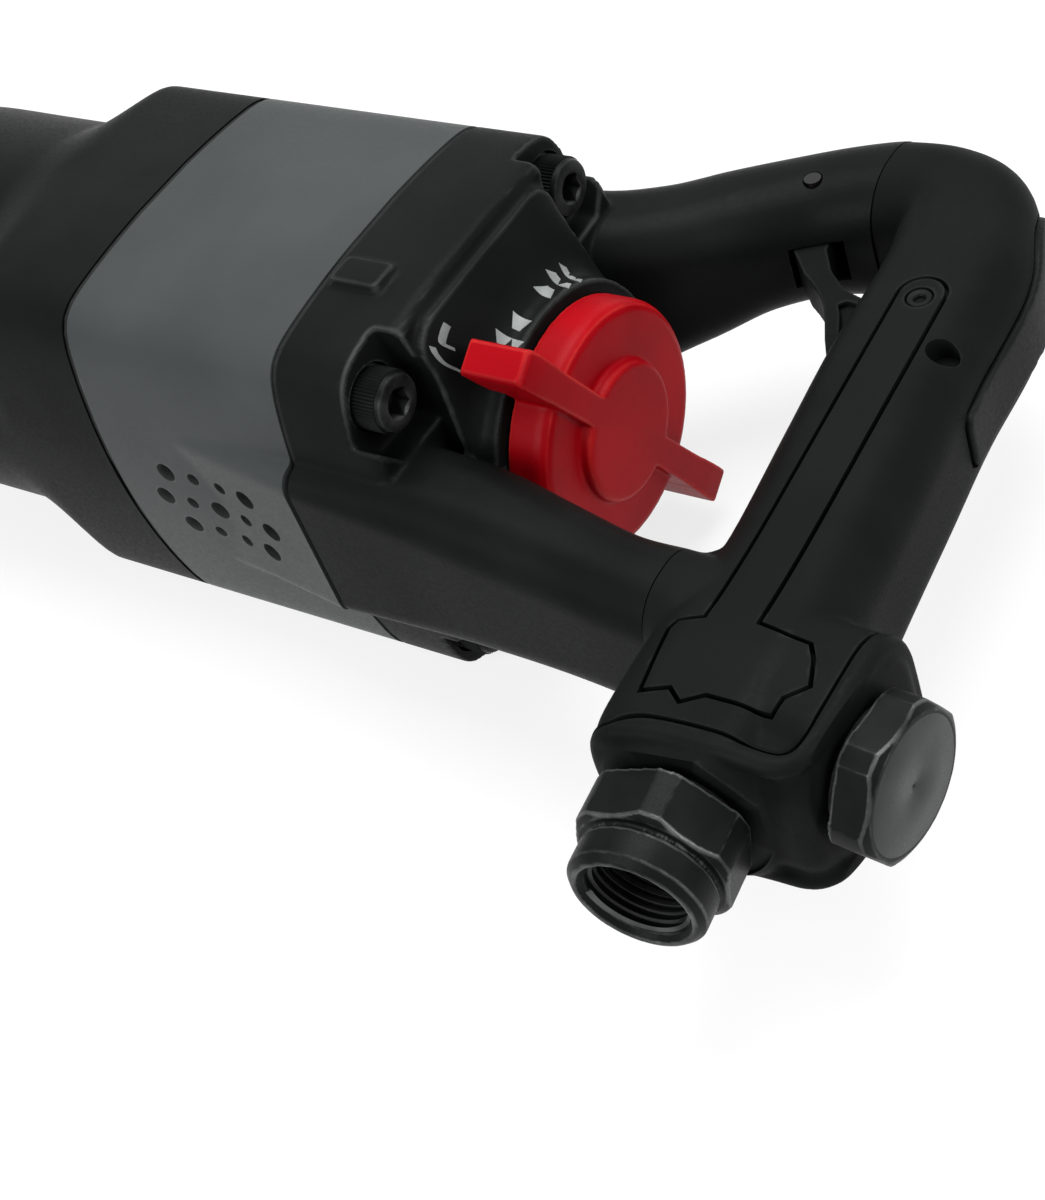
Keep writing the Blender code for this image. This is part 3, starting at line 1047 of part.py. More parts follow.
def build_trigger():
    pivot = behind(TRIGGER_PIVOT_REACH, TRIGGER_PIVOT_HEIGHT)
    trigger = prism("trigger", trigger_outline(), -TRIGGER_HALF_WIDTH, TRIGGER_HALF_WIDTH, "Y")
    trigger.location = pivot
    finish(trigger, BLACK_RUBBER)
    width = 2 * TRIGGER_HALF_WIDTH
    cut(trigger, helper(rod("trigger_eye", TRIGGER_PIN_RADIUS + FIT, -width, width, pivot, LEFT, 16)))
    half = GRIP_HALF_WIDTH - 2 * MM
    finish(rod("trigger_pin", TRIGGER_PIN_RADIUS, -half, half, pivot, LEFT, 16), BRIGHT_STEEL)

    valve_at = behind(0, VALVE_HEIGHT)
    tip = -TRIGGER_BACK - FIT
    seat = -(TRIGGER_BACK + TRIGGER_STROKE + VALVE_WALL) - FIT
    head_back = seat - VALVE_HEAD_LENGTH
    profile = [(0, tip), (VALVE_STEM_RADIUS - 1 * MM, tip), (VALVE_STEM_RADIUS, tip - 1 * MM), (VALVE_STEM_RADIUS, seat),
               (VALVE_HEAD_RADIUS, seat), (VALVE_HEAD_RADIUS, head_back), (VALVE_STEM_RADIUS, head_back),
               (VALVE_STEM_RADIUS, head_back - VALVE_TAIL_LENGTH), (0, head_back - VALVE_TAIL_LENGTH)]
    finish(turned("throttle_plunger", profile, valve_at, FORWARD, 16), BRONZE)
    cap_front = -VALVE_CAP_REACH
    finish(rod("valve_cap", VALVE_BORE_RADIUS - FIT, cap_front - VALVE_CAP_LENGTH, cap_front, valve_at, FORWARD,
               SMALL_SIDES), BLACK_STEEL)

    curve = bpy.data.curves.new("throttle_spring", "CURVE")
    curve.dimensions = "3D"
    curve.bevel_depth = SPRING_WIRE
    curve.bevel_resolution = 1
    curve.use_fill_caps = True
    spline = curve.splines.new("POLY")
    count = SPRING_TURNS * SPRING_POINTS + 1
    spline.points.add(count - 1)
    start = cap_front + FIT + SPRING_WIRE
    coil = []
    for i in range(count):
        turn = 2 * math.pi * i / SPRING_POINTS
        coil.append(valve_at + Vector((start + SPRING_PITCH * i / SPRING_POINTS, SPRING_RADIUS * math.cos(turn),
                                       SPRING_RADIUS * math.sin(turn))))
        spline.points[i].co = (*coil[i], 1)
    gap = min((coil[i] - coil[j]).length for i in range(count) for j in range(i + SPRING_POINTS - 1, count))
    print(f"throttle spring: least gap to itself {1000 * (gap - 2 * SPRING_WIRE):.2f} mm")
    spring = bpy.data.objects.new("throttle_spring", curve)
    bpy.data.collections["impact_wrench"].objects.link(spring)
    spring.parent = TOOL
    curve.materials.append(BRIGHT_STEEL.copy())


def main():
    build_anvil()
    build_nose()
    build_hammers()
    build_gaskets()
    build_motor_housing()
    build_air_motor()
    build_handle_housing()
    build_knob()
    build_cap_screws()
    build_grip()
    build_fittings()
    build_trigger()


main()
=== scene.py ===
# %% [markdown]
# # Pneumatic impact wrench, dressed for a studio picture
# The solid model says where every piece sits and how it moves. This script loads it as a fixed frame and
# puts finer shapes and finishes over the pieces that are seen. The tool lies on its right flank: its drive
# points along +X, its left side faces up, and its handle runs along Y.

# %% Load the solid model
import json
import math

import bmesh
import bpy
import numpy as np
from mathutils import Matrix, Vector
from mathutils.bvhtree import BVHTree


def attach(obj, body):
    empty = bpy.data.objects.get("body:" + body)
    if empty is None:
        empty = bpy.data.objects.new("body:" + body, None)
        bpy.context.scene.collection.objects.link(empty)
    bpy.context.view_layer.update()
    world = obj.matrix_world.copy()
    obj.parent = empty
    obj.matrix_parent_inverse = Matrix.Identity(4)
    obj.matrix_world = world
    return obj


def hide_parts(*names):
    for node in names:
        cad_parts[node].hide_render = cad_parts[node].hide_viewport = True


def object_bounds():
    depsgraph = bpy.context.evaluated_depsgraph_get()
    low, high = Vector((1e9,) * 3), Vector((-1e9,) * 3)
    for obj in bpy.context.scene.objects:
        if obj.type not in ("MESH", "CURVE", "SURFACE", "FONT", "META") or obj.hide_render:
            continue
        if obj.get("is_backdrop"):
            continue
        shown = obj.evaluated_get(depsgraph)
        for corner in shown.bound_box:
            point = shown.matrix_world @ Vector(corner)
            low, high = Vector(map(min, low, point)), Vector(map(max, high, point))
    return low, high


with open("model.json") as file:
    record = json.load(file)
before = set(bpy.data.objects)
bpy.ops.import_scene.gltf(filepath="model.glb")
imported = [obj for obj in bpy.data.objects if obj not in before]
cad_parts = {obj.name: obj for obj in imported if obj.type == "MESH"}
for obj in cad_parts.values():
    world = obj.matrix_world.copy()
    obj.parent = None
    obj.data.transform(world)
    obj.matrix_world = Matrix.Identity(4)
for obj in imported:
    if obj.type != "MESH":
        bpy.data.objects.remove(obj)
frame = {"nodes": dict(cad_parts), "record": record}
cad_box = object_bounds()
corners = [[round(v, 4) for v in corner] for corner in cad_box]
print("solid model:", len(frame["nodes"]), "nodes, box", corners)

# %% [markdown]
# ## Camera
# The photograph looks down on the tool from behind its left side. The camera's place and lens were solved
# from the round fittings and the housing's edges, so its directions are written down and made square to one
# another, instead of aiming it at a point.

# %% Camera
scene = bpy.context.scene
right = Vector((-0.81, -0.515, -0.282)).normalized()
ahead = Vector((0.542, -0.473, -0.695))
above = right.cross(ahead).normalized()
ahead = above.cross(right).normalized()
camera_data = bpy.data.cameras.new("studio_camera")
camera_data.sensor_width = 36
camera_data.lens = 66.45
camera = bpy.data.objects.new("studio_camera", camera_data)
camera.location = (-0.5378, 0.265, 0.316)
camera.rotation_mode = "QUATERNION"
camera.rotation_quaternion = Matrix((right, above, -ahead)).transposed().to_quaternion()
scene.collection.objects.link(camera)
scene.camera = camera
print("camera lens", camera_data.lens, "mm at", tuple(camera.location))

# %% [markdown]
# ## Nodes
# Materials and Geometry Nodes trees are both node trees. One helper adds a node, sets its properties, and
# either fills or links each input, so that a tree reads as a short list.

# %% Node helper and colours
MM = 0.001


def add(tree, kind, inputs=None, **settings):
    """A new node. An input's value is a number or colour, or the output socket that feeds it."""
    made = tree.nodes.new(kind)
    for key, value in settings.items():
        setattr(made, key, value)
    for key, value in (inputs or {}).items():
        if isinstance(value, bpy.types.NodeSocket):
            tree.links.new(value, made.inputs[key])
        else:
            made.inputs[key].default_value = value
    return made


def linear(code):
    """An sRGB hex colour as the linear RGBA that Blender works in."""
    channels = [int(code[i:i + 2], 16) / 255 for i in (1, 3, 5)]
    return [c / 12.92 if c <= 0.04045 else ((c + 0.055) / 1.055) ** 2.4 for c in channels] + [1.0]


print("helpers ready; mid grey is", [round(v, 3) for v in linear("#808080")])

# %% [markdown]
# ## Finishes
# The tool has six main finishes: black powder paint on castings, grey paint on the motor's band, a matte
# black moulding on the grip, a red satin plastic knob, blackened steel fittings, and ground steel inside.
# Each is one Principled shader. Large soft noise drifts the colour, fine noise gives the grain its height and
# roughness, and a number stored on the mesh as "edge" says how sharp the surface is there, so that wear
# shows on real edges from any side. Noise gathers about 0.5, so the ranges are taken from values near it.

# %% Finish recipe
def finish(name, dark, light, drift, grain, depth, roughness, shine, metallic=0.0,
           worn=None, wear=0.5, bare=0.0):
    """A finish from two tones, sizes in mm (drift of tone, grain, its depth), and the look of worn edges."""
    made = bpy.data.materials.new(name)
    made.use_nodes = True
    tree = made.node_tree
    shader = tree.nodes["Principled BSDF"]
    shader.inputs["Specular IOR Level"].default_value = shine
    place = add(tree, "ShaderNodeTexCoord").outputs["Object"]
    cloud = add(tree, "ShaderNodeTexNoise", {"Vector": place, "Scale": 1 / (drift * MM), "Detail": 4.0})
    cloud = cloud.outputs["Fac"]
    speck = add(tree, "ShaderNodeTexNoise", {"Vector": place, "Scale": 1 / (grain * MM), "Detail": 3.0})
    speck = speck.outputs["Fac"]
    tone = add(tree, "ShaderNodeMapRange", {"Value": cloud, "From Min": 0.32, "From Max": 0.68})
    tones = {"Factor": tone.outputs["Result"], "A": linear(dark), "B": linear(light)}
    colour = add(tree, "ShaderNodeMix", tones, data_type="RGBA").outputs["Result"]
    smooth, rough = roughness
    gloss = add(tree, "ShaderNodeMapRange", {"Value": speck, "From Min": 0.3, "From Max": 0.7,
                                             "To Min": smooth, "To Max": rough}).outputs["Result"]
    if worn:
        edge = add(tree, "ShaderNodeAttribute", attribute_name="edge").outputs["Fac"]
        patch = add(tree, "ShaderNodeMapRange", {"Value": cloud, "From Min": 0.35, "From Max": 0.75,
                                                 "To Min": 0.25, "To Max": 1.0}).outputs["Result"]
        rubbed = add(tree, "ShaderNodeMath", {0: edge, 1: patch}, operation="MULTIPLY").outputs[0]
        rubbed = add(tree, "ShaderNodeMapRange", {"Value": rubbed, "From Min": 0.1, "From Max": 0.9,
                                                  "To Min": 0.0, "To Max": wear}).outputs["Result"]
        tones = {"Factor": rubbed, "A": colour, "B": linear(worn)}
        colour = add(tree, "ShaderNodeMix", tones, data_type="RGBA").outputs["Result"]
    if bare:
        metal = add(tree, "ShaderNodeMapRange", {"Value": rubbed, "To Min": metallic, "To Max": bare})
        tree.links.new(metal.outputs["Result"], shader.inputs["Metallic"])
    else:
        shader.inputs["Metallic"].default_value = metallic
    height = add(tree, "ShaderNodeBump", {"Height": speck, "Strength": 0.6, "Distance": depth * MM})
    tree.links.new(colour, shader.inputs["Base Color"])
    tree.links.new(gloss, shader.inputs["Roughness"])
    tree.links.new(height.outputs["Normal"], shader.inputs["Normal"])
    return made


# Powder paint on castings: soft orange peel, a dull shine, rubbed grey at the edges.
black_paint = finish("black_powder_paint", "#0a0b0b", "#101111", 28, 0.9, 0.05, (0.36, 0.48), 0.035,
                     worn="#454847", wear=0.5)
# The motor's band: grey enamel, a little smoother than the black.
grey_paint = finish("grey_enamel", "#303333", "#373a3a", 40, 1.1, 0.04, (0.34, 0.46), 0.09,
                    worn="#5c5f5e", wear=0.5)
# Grip: a fine spark-eroded texture in the mould leaves a dull, even black.
grip_moulding = finish("matte_grip_moulding", "#0b0c0c", "#101111", 22, 0.45, 0.07, (0.46, 0.6), 0.03,
                       worn="#2c2f2e", wear=0.4)
# Inlay strips and pad: the same plastic from a smoother mould, which looks deeper.
inlay_moulding = finish("smooth_inlay_moulding", "#090a0a", "#0d0e0e", 30, 0.8, 0.03, (0.38, 0.5), 0.035,
                        worn="#262928", wear=0.4)
# Knob: pigmented nylon with a satin skin, paler where it is handled.
red_nylon = finish("red_nylon", "#7e010a", "#8d020d", 18, 0.5, 0.035, (0.36, 0.48), 0.06,
                   worn="#c03a32", wear=0.4)
# Fittings: steel blackened in a hot salt bath, back to bright steel at the edges.
black_steel = finish("blackened_steel", "#0b0c0c", "#131414", 9, 0.35, 0.02, (0.34, 0.5), 0.06, 0.3,
                     worn="#6a6c6b", wear=0.6, bare=0.9)
# Knurls and small screws are blacked too, and too sheltered to wear bright.
knurl_steel = finish("blackened_knurl", "#0b0c0c", "#131414", 9, 0.35, 0.02, (0.42, 0.56), 0.06, 0.3)
# The plug's flat face is painted paler and shinier than the rest of the plug: a painted highlight where the
# face catches the light.
plug_face_highlight = finish("plug_face_painted_highlight", "#272929", "#303232", 7, 0.3, 0.015, (0.38, 0.5), 0.2, 0.5)
# Running parts: ground steel, bored bronze, and a liner darkened by oil and by painted shade, for where it
# shows through the exhaust holes.
ground_steel = finish("ground_steel", "#8f9190", "#a4a6a5", 12, 0.25, 0.012, (0.26, 0.4), 0.5, 1.0)
oil_and_shade_darkened_steel = finish("oil_and_shade_darkened_steel", "#2c2d2c", "#383938", 12, 0.25, 0.012, (0.3, 0.45), 0.5, 1.0)
bronze = finish("bearing_bronze", "#8a5f2c", "#a2743a", 10, 0.3, 0.015, (0.32, 0.48), 0.5, 1.0)
dull_bronze = finish("oil_darkened_bronze", "#1c140b", "#281d10", 4, 0.3, 0.05, (0.5, 0.7), 0.3, 0.6)
# Vanes are sawn from cloth laminate, and gaskets are punched from oiled paper.
vane_laminate = finish("vane_laminate", "#4a2e1c", "#5d3b25", 6, 0.5, 0.02, (0.5, 0.65), 0.4)
gasket_paper = finish("gasket_paper", "#0c0d0d", "#141515", 5, 0.5, 0.05, (0.75, 0.9), 0.2)
# Marks are pad printed in a pale grey ink that has worn a little.
pale_print = finish("pale_print", "#676b6a", "#7b7f7e", 5, 0.3, 0.01, (0.5, 0.62), 0.3)
print("finishes:", sorted(m.name for m in bpy.data.materials))

# %% [markdown]
# ## Shaping tools
# Shapes are written in the tool's own millimetres: x forward from the drive's end, y to the left, z up.
# A skin over rings of points makes every casting, a turned profile makes every round piece, and a plate
# makes what is cut from a flat outline. All go straight to their place in the frame, so no object is moved.
# The back of the handle is measured as a reach behind the knob's face.

# %% Skins, beams and sweeps
KNOB = -285.8
LEAST_STRAIGHT = 0.05


def tool(x, y, z):
    """A point of the tool, in mm, as a place in the frame."""
    return Vector((x, -z, y)) * MM


def keep(name, shape):
    """Makes an object of a finished mesh, with its faces turned outwards."""
    bmesh.ops.recalc_face_normals(shape, faces=shape.faces)
    mesh = bpy.data.meshes.new(name)
    shape.to_mesh(mesh)
    shape.free()
    made = bpy.data.objects.new(name, mesh)
    scene.collection.objects.link(made)
    return made


def skin(name, rings):
    """A closed skin over rings with equally many points."""
    shape = bmesh.new()
    rows = [[shape.verts.new(tool(*point)) for point in ring] for ring in rings]
    for row, after in zip(rows, rows[1:]):
        for i in range(len(row)):
            j = (i + 1) % len(row)
            shape.faces.new((row[i], row[j], after[j], after[i]))
    shape.faces.new(rows[0])
    shape.faces.new(rows[-1])
    return keep(name, shape)


def section(half_a, half_b, radius, turns=10):
    """A rectangle with round corners as points about its middle."""
    radius = min(radius, half_a - LEAST_STRAIGHT, half_b - LEAST_STRAIGHT)
    points = []
    for quarter, (sign_a, sign_b) in enumerate(((1, 1), (-1, 1), (-1, -1), (1, -1))):
        for step in range(turns + 1):
            angle = math.pi / 2 * (quarter + step / turns)
            points.append((sign_a * (half_a - radius) + radius * math.cos(angle),
                           sign_b * (half_b - radius) + radius * math.sin(angle)))
    return points


def beam(name, rows, height=0.0, turns=10):
    """A beam along x over rows of x, half width, half height and corner radius."""
    return skin(name, [[(x, a, height + b) for a, b in section(half_y, half_z, corner, turns)]
                       for x, half_y, half_z, corner in rows])


def eased(stations, steps=6):
    """Rows of numbers with a smooth curve run through them."""
    rows = np.array(stations, float)
    padded = np.vstack([2 * rows[0] - rows[1], rows, 2 * rows[-1] - rows[-2]])
    dense = []
    for i in range(len(rows) - 1):
        a, b, c, d = padded[i:i + 4]
        for t in np.linspace(0, 1, steps, endpoint=False):
            dense.append(b + (c - a) * t / 2 + (2 * a - 5 * b + 4 * c - d) * t ** 2 / 2
                         + (3 * b - a - 3 * c + d) * t ** 3 / 2)
    return np.vstack([dense, rows[-1]])


def swept(name, stations, grow=0.0):
    """A bar along a path behind the knob's face: reach, height, half depth, half width, corner radius."""
    rows = eased(stations)
    path = [Vector((KNOB - row[0], 0, row[1])) for row in rows]
    rings = []
    for i, row in enumerate(rows):
        run = path[min(i + 1, len(path) - 1)] - path[max(i - 1, 0)]
        across = Vector((0, 1, 0)).cross(run).normalized()
        outline = section(row[3] + grow, row[2] + grow, row[4] + grow)
        rings.append([path[i] + Vector((0, a, 0)) + across * b for a, b in outline])
    return skin(name, rings)


print("beams and sweeps ready")

# %% Lathes and plates
def turned(name, profile, at=(0, 0, 0), along=(1, 0, 0), sides=96):
    """A lathe shape from (radius, distance) points. It is a ring if the profile stays off the axis."""
    shape = bmesh.new()
    along = Vector(along).normalized()
    side = Vector((0, 1, 0)) if abs(along.y) < 0.9 else Vector((1, 0, 0))
    side = (side - along * side.dot(along)).normalized()
    other = along.cross(side)
    rows = []
    for radius, level in profile:
        centre = Vector(at) + along * level
        angles = [0] if radius == 0 else [2 * math.pi * k / sides for k in range(sides)]
        rows.append([shape.verts.new(tool(*(centre + (side * math.cos(a) + other * math.sin(a)) * radius)))
                     for a in angles])
    pairs = list(zip(rows, rows[1:]))
    if len(rows[0]) > 1 and len(rows[-1]) > 1:
        pairs.append((rows[-1], rows[0]))
    for row, after in pairs:
        for k in range(sides):
            near = [row[j % len(row)] for j in (k, k + 1)]
            far = [after[j % len(after)] for j in (k + 1, k)]
            shape.faces.new(list(dict.fromkeys(near + far)))
    return keep(name, shape)


def rod(radius, low, high, at=(0, 0, 0), along=(1, 0, 0), sides=96):
    """A round bar between two distances along an axis, to cut a hole with or to join on."""
    return turned("rod", [(0, low), (radius, low), (radius, high), (0, high)], at, along, sides)


def plate(name, outline, low, high, along="y"):
    """An outline run along y, as (x, z) points, or along x, as (y, z) points."""
    if along == "y":
        return skin(name, [[(a, level, b) for a, b in outline] for level in (low, high)])
    return skin(name, [[(level, a, b) for a, b in outline] for level in (low, high)])


print("lathes and plates ready")

# %% [markdown]
# ## Casting
# A casting has no sharp inner corners: the foundry rounds them so that the metal flows. Bevelling every
# crossing of several blocks by hand would be slow, so the blocks are simply joined, remeshed into an even
# skin of small squares, and smoothed a few times. Faces that a mill cuts after casting are cut afterwards,
# so they stay crisp. Last, the sharpness of each edge is measured and stored for the finishes to read.

# %% Joining, cutting and casting
def settle(body):
    """Makes the result of the modifiers the piece's plain mesh."""
    bpy.context.view_layer.update()
    graph = bpy.context.evaluated_depsgraph_get()
    mesh = bpy.data.meshes.new_from_object(body.evaluated_get(graph))
    old = body.data
    body.modifiers.clear()
    body.data = mesh
    bpy.data.meshes.remove(old)
    return body


def combine(body, others, operation):
    """Joins other pieces to a body, cuts them out of it or keeps what is inside them, and removes them."""
    for other in others:
        step = body.modifiers.new("combine", "BOOLEAN")
        step.object = other
        step.operation = operation
        step.solver = "MANIFOLD"
    settle(body)
    for other in others:
        bpy.data.objects.remove(other)
    return body


def carve(body, *others):
    return combine(body, others, "DIFFERENCE")


def gather(body, *others):
    """One mesh that holds several closed skins, which casting then makes into one."""
    shape = bmesh.new()
    for each in (body, *others):
        shape.from_mesh(each.data)
    shape.to_mesh(body.data)
    shape.free()
    for other in others:
        bpy.data.objects.remove(other)
    return body


def cast(body, voxel, rounds):
    """One even skin of small squares over the whole body, with its corners smoothed in a few rounds."""
    even = body.modifiers.new("even skin", "REMESH")
    even.mode = "VOXEL"
    even.voxel_size = voxel * MM
    soft = body.modifiers.new("soft corners", "SMOOTH")
    soft.factor = 0.5
    soft.iterations = rounds
    return settle(body)


print("casting tools ready")

# %% Measuring edges
LEAST_GAP = 0.3


def mark_edges(body, dull=0.3, sharp=1.0, spread=2):
    """Stores how sharply the surface bends outwards, from 0 at 1/dull mm of radius to 1 at 1/sharp mm."""
    mesh = body.data
    corners = len(mesh.loops)
    edge_of = np.empty(corners, np.int32)
    mesh.loops.foreach_get("edge_index", edge_of)
    sizes = np.empty(len(mesh.polygons), np.int32)
    mesh.polygons.foreach_get("loop_total", sizes)
    face_of = np.repeat(np.arange(len(sizes)), sizes)
    normals = np.empty(len(sizes) * 3, np.float32)
    mesh.polygons.foreach_get("normal", normals)
    centres = np.empty(len(sizes) * 3, np.float32)
    mesh.polygons.foreach_get("center", centres)
    normals = normals.reshape(-1, 3)
    centres = centres.reshape(-1, 3) / MM
    order = np.argsort(edge_of, kind="stable")
    sorted_edges = edge_of[order]
    first = np.flatnonzero(sorted_edges[:-1] == sorted_edges[1:])
    one = face_of[order[first]]
    two = face_of[order[first + 1]]
    gap = centres[two] - centres[one]
    bend = np.arccos(np.clip((normals[one] * normals[two]).sum(1), -1, 1))
    outward = (normals[one] * gap).sum(1) < 0
    curve = np.where(outward, bend, 0) / np.maximum(np.linalg.norm(gap, axis=1), LEAST_GAP)
    ends = np.empty(len(mesh.edges) * 2, np.int32)
    mesh.edges.foreach_get("vertices", ends)
    ends = ends.reshape(-1, 2)
    value = np.zeros(len(mesh.vertices))
    here = ends[sorted_edges[first]]
    np.maximum.at(value, here[:, 0], curve)
    np.maximum.at(value, here[:, 1], curve)
    for _ in range(spread):
        total = np.zeros_like(value)
        count = np.zeros_like(value)
        for a, b in ((0, 1), (1, 0)):
            np.add.at(total, ends[:, a], value[ends[:, b]])
            np.add.at(count, ends[:, a], 1)
        value = (value + total / np.maximum(count, 1)) / 2
    value = np.clip((value - dull) / (sharp - dull), 0, 1)
    layer = mesh.attributes.new("edge", "FLOAT", "POINT")
    layer.data.foreach_set("value", value.astype(np.float32))
    return value


def dress(body, material, rides, slot, *nodes, flat=35):
    """Finishes a piece, lets it ride on a body of the model, and hides the solids that it stands for."""
    marks = mark_edges(body)
    body.data.materials.clear()
    body.data.materials.append(material)
    body.data.shade_smooth()
    if flat:
        body.data.set_sharp_from_angle(angle=math.radians(flat))
    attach(body, rides)
    if nodes:
        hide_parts(*nodes)
    print(body.name, len(body.data.polygons), "faces, worn share", round(float((marks > 0.5).mean()), 3))
    return body


print("edge measure ready")

# %% [markdown]
# ## Body section
# Hammer case, motor band and rear cover share one section: four sides that bow outwards and meet in small
# round corners. A sweep of a drawn outline would need many points, so the outline is worked out instead: a
# ray at each angle meets a bowed side and a bowed floor, and the nearer of the two wins, softly. The points
# crowd together near the corners. A gasket fills the gap between one casting and the next.

# %% Bowed section
HALF_WIDTH, HALF_HEIGHT = 49.5, 48.5
SIDE_BOW, FLOOR_BOW = 4.8, 8.1
CRISPNESS = 20
RESTING_FLAT = 49.34
BARREL = 48.5
CASE_BACK, BAND_BACK, GASKET_GAP = -174, -236, 1.6
MOTOR_BORE = 43
TRIM_HALF, TRIM_DEPTH = 120, 80
quarter = [*np.linspace(0, 34, 12, endpoint=False), *np.linspace(34, 54, 26, endpoint=False),
           *np.linspace(54, 90, 12, endpoint=False)]
TURNS = np.radians([90 * k + a for k in range(4) for a in quarter])


def bowed(near, far, bow, half, across):
    """How far a ray runs before it meets a side that bows in by a given depth at its ends."""
    curve = bow * (far / across) ** 2
    if curve < 1e-9:
        return half / near
    return (math.sqrt(near * near + 4 * curve * half) - near) / (2 * curve)


def body_ring(x, inset=0.0, share=1.0):
    """A section of the body, or one that is only a share of the way there from the round barrel."""
    ring = []
    for angle in TURNS:
        near, far = abs(math.cos(angle)), abs(math.sin(angle))
        side = bowed(near, far, SIDE_BOW, HALF_WIDTH - inset, HALF_HEIGHT)
        floor = bowed(far, near, FLOOR_BOW, HALF_HEIGHT - inset, HALF_WIDTH)
        least = min(side, floor)
        radius = least / ((least / side) ** CRISPNESS + (least / floor) ** CRISPNESS) ** (1 / CRISPNESS)
        radius = BARREL + (radius - BARREL) * share
        y = max(-RESTING_FLAT, min(RESTING_FLAT, radius * math.cos(angle)))
        ring.append((x, y, radius * math.sin(angle)))
    return ring


def beyond(x, way):
    """A block in front of a plane across the tool, or behind it, to trim a casting with."""
    return beam("trim", [(level, TRIM_HALF, TRIM_HALF, 1) for level in (x, x + way * TRIM_DEPTH)], turns=2)


print("body section:", len(TURNS), "points")

# %% [markdown]
# ## Hammer case
# The front casting holds the hammers. It is round along the barrel, narrows to the nose, and swells into a
# square flange where it bolts to the motor. One skin over rings that change from a circle to the body's
# section gives that without any seam.

# %% Hammer case
NOSE = ((-33, 25.2), (-34.5, 26.6), (-37, 26.9), (-50, 26.9), (-54, 27.3), (-60, 31), (-68, 38.6),
        (-74, 44.6), (-78, 47.4), (-84, BARREL), (-105, BARREL), (-127, BARREL))
SWELL_FRONT, SWELL_RUN = -128, 16
NOSE_BORE = 21.9
rings = [[(x, r * math.cos(a), r * math.sin(a)) for a in TURNS] for x, r in eased(NOSE, 4)]
for share in np.linspace(0.1, 1, 10):
    rings.append(body_ring(SWELL_FRONT - SWELL_RUN * share, share=share * share * (3 - 2 * share)))
rings += [body_ring(-160), body_ring(-178)]
hammer_case = cast(skin("hammer_case_casting", rings), 0.9, 3)
carve(hammer_case, beyond(CASE_BACK, -1), rod(NOSE_BORE, -30, -84), rod(MOTOR_BORE, -79, -180))
dress(hammer_case, black_paint, "housing", "black_paint", "hammer_case")

# %% [markdown]
# ## Motor band
# The grey middle section holds the air motor. A shallow ridge grows out of its floor and roof towards the
# handle, and thirteen exhaust holes of two sizes let the spent air out below. The holes repeat on a grid,
# so a Geometry Nodes tree sets a pin on each point and scales it, and the pins are then cut out together.

# %% Motor band
RIDGE_FRONT, RIDGE_RUN = -190, 46
RIDGE_ROOT, RIDGE_RISE = 40, 4
RIDGE_HALF_WIDTH, RIDGE_CORNER = 22, 4.5


def ridge(name, sign):
    """The ridge that leads into an arm. It comes out of the casting and rises towards the back."""
    rings = []
    for t in np.linspace(0, 1.08, 18):
        top = HALF_HEIGHT + RIDGE_RISE * (-0.6 + 1.5 * t + 0.1 * t * t)
        middle = (top + RIDGE_ROOT) / 2
        outline = section(RIDGE_HALF_WIDTH, top - middle, RIDGE_CORNER)
        rings.append([(RIDGE_FRONT - RIDGE_RUN * t, a, sign * (middle + b)) for a, b in outline])
    return skin(name, rings)


band = skin("motor_band", [body_ring(x) for x in (-172, -205, -240)])
gather(band, ridge("floor_ridge", -1), ridge("roof_ridge", 1))
cast(band, 0.85, 3)
carve(band, beyond(CASE_BACK - GASKET_GAP, 1), beyond(BAND_BACK, -1), rod(MOTOR_BORE, -170, -244))
print("motor band cast:", len(band.data.polygons), "faces")

# %% Trees that repeat a shape
def scatter_tree(name, sizes):
    """An empty Geometry Nodes tree with named number inputs, and those inputs."""
    tree = bpy.data.node_groups.new(name, "GeometryNodeTree")
    tree.interface.new_socket("Geometry", in_out="INPUT", socket_type="NodeSocketGeometry")
    for size in sizes:
        tree.interface.new_socket(size, in_out="INPUT", socket_type="NodeSocketFloat")
    tree.interface.new_socket("Geometry", in_out="OUTPUT", socket_type="NodeSocketGeometry")
    return tree, add(tree, "NodeGroupInput").outputs


def planted(tree, given, shape, material, **placing):
    """Ends a tree: the shape stands on every given point, as a plain mesh with its material."""
    dots = add(tree, "GeometryNodeMeshToPoints", {"Mesh": given["Geometry"]}).outputs[0]
    placing = {"Points": dots, "Instance": shape, **placing}
    copies = add(tree, "GeometryNodeInstanceOnPoints", placing).outputs[0]
    solid = add(tree, "GeometryNodeRealizeInstances", {"Geometry": copies}).outputs[0]
    solid = add(tree, "GeometryNodeSetMaterial", {"Geometry": solid, "Material": material}).outputs[0]
    add(tree, "NodeGroupOutput", {"Geometry": solid})


def grown(name, points, tree, sizes, attributes=None):
    """A plain mesh from a tree that was run on some points, with its named inputs set."""
    mesh = bpy.data.meshes.new(name)
    mesh.from_pydata([tool(*point) for point in points], [], [])
    for key, values in (attributes or {}).items():
        layer = mesh.attributes.new(key, "FLOAT", "POINT")
        layer.data.foreach_set("value", values)
    made = bpy.data.objects.new(name, mesh)
    scene.collection.objects.link(made)
    step = made.modifiers.new(name, "NODES")
    step.node_group = tree
    for item in tree.interface.items_tree:
        if item.in_out == "INPUT" and item.name in sizes:
            step[item.identifier] = sizes[item.name]
    return settle(made)


print("scatter trees ready")

# %% Exhaust holes
HOLE_PITCH, HOLES_MIDDLE, HOLES_HEIGHT = 8.5, -205.6, -50
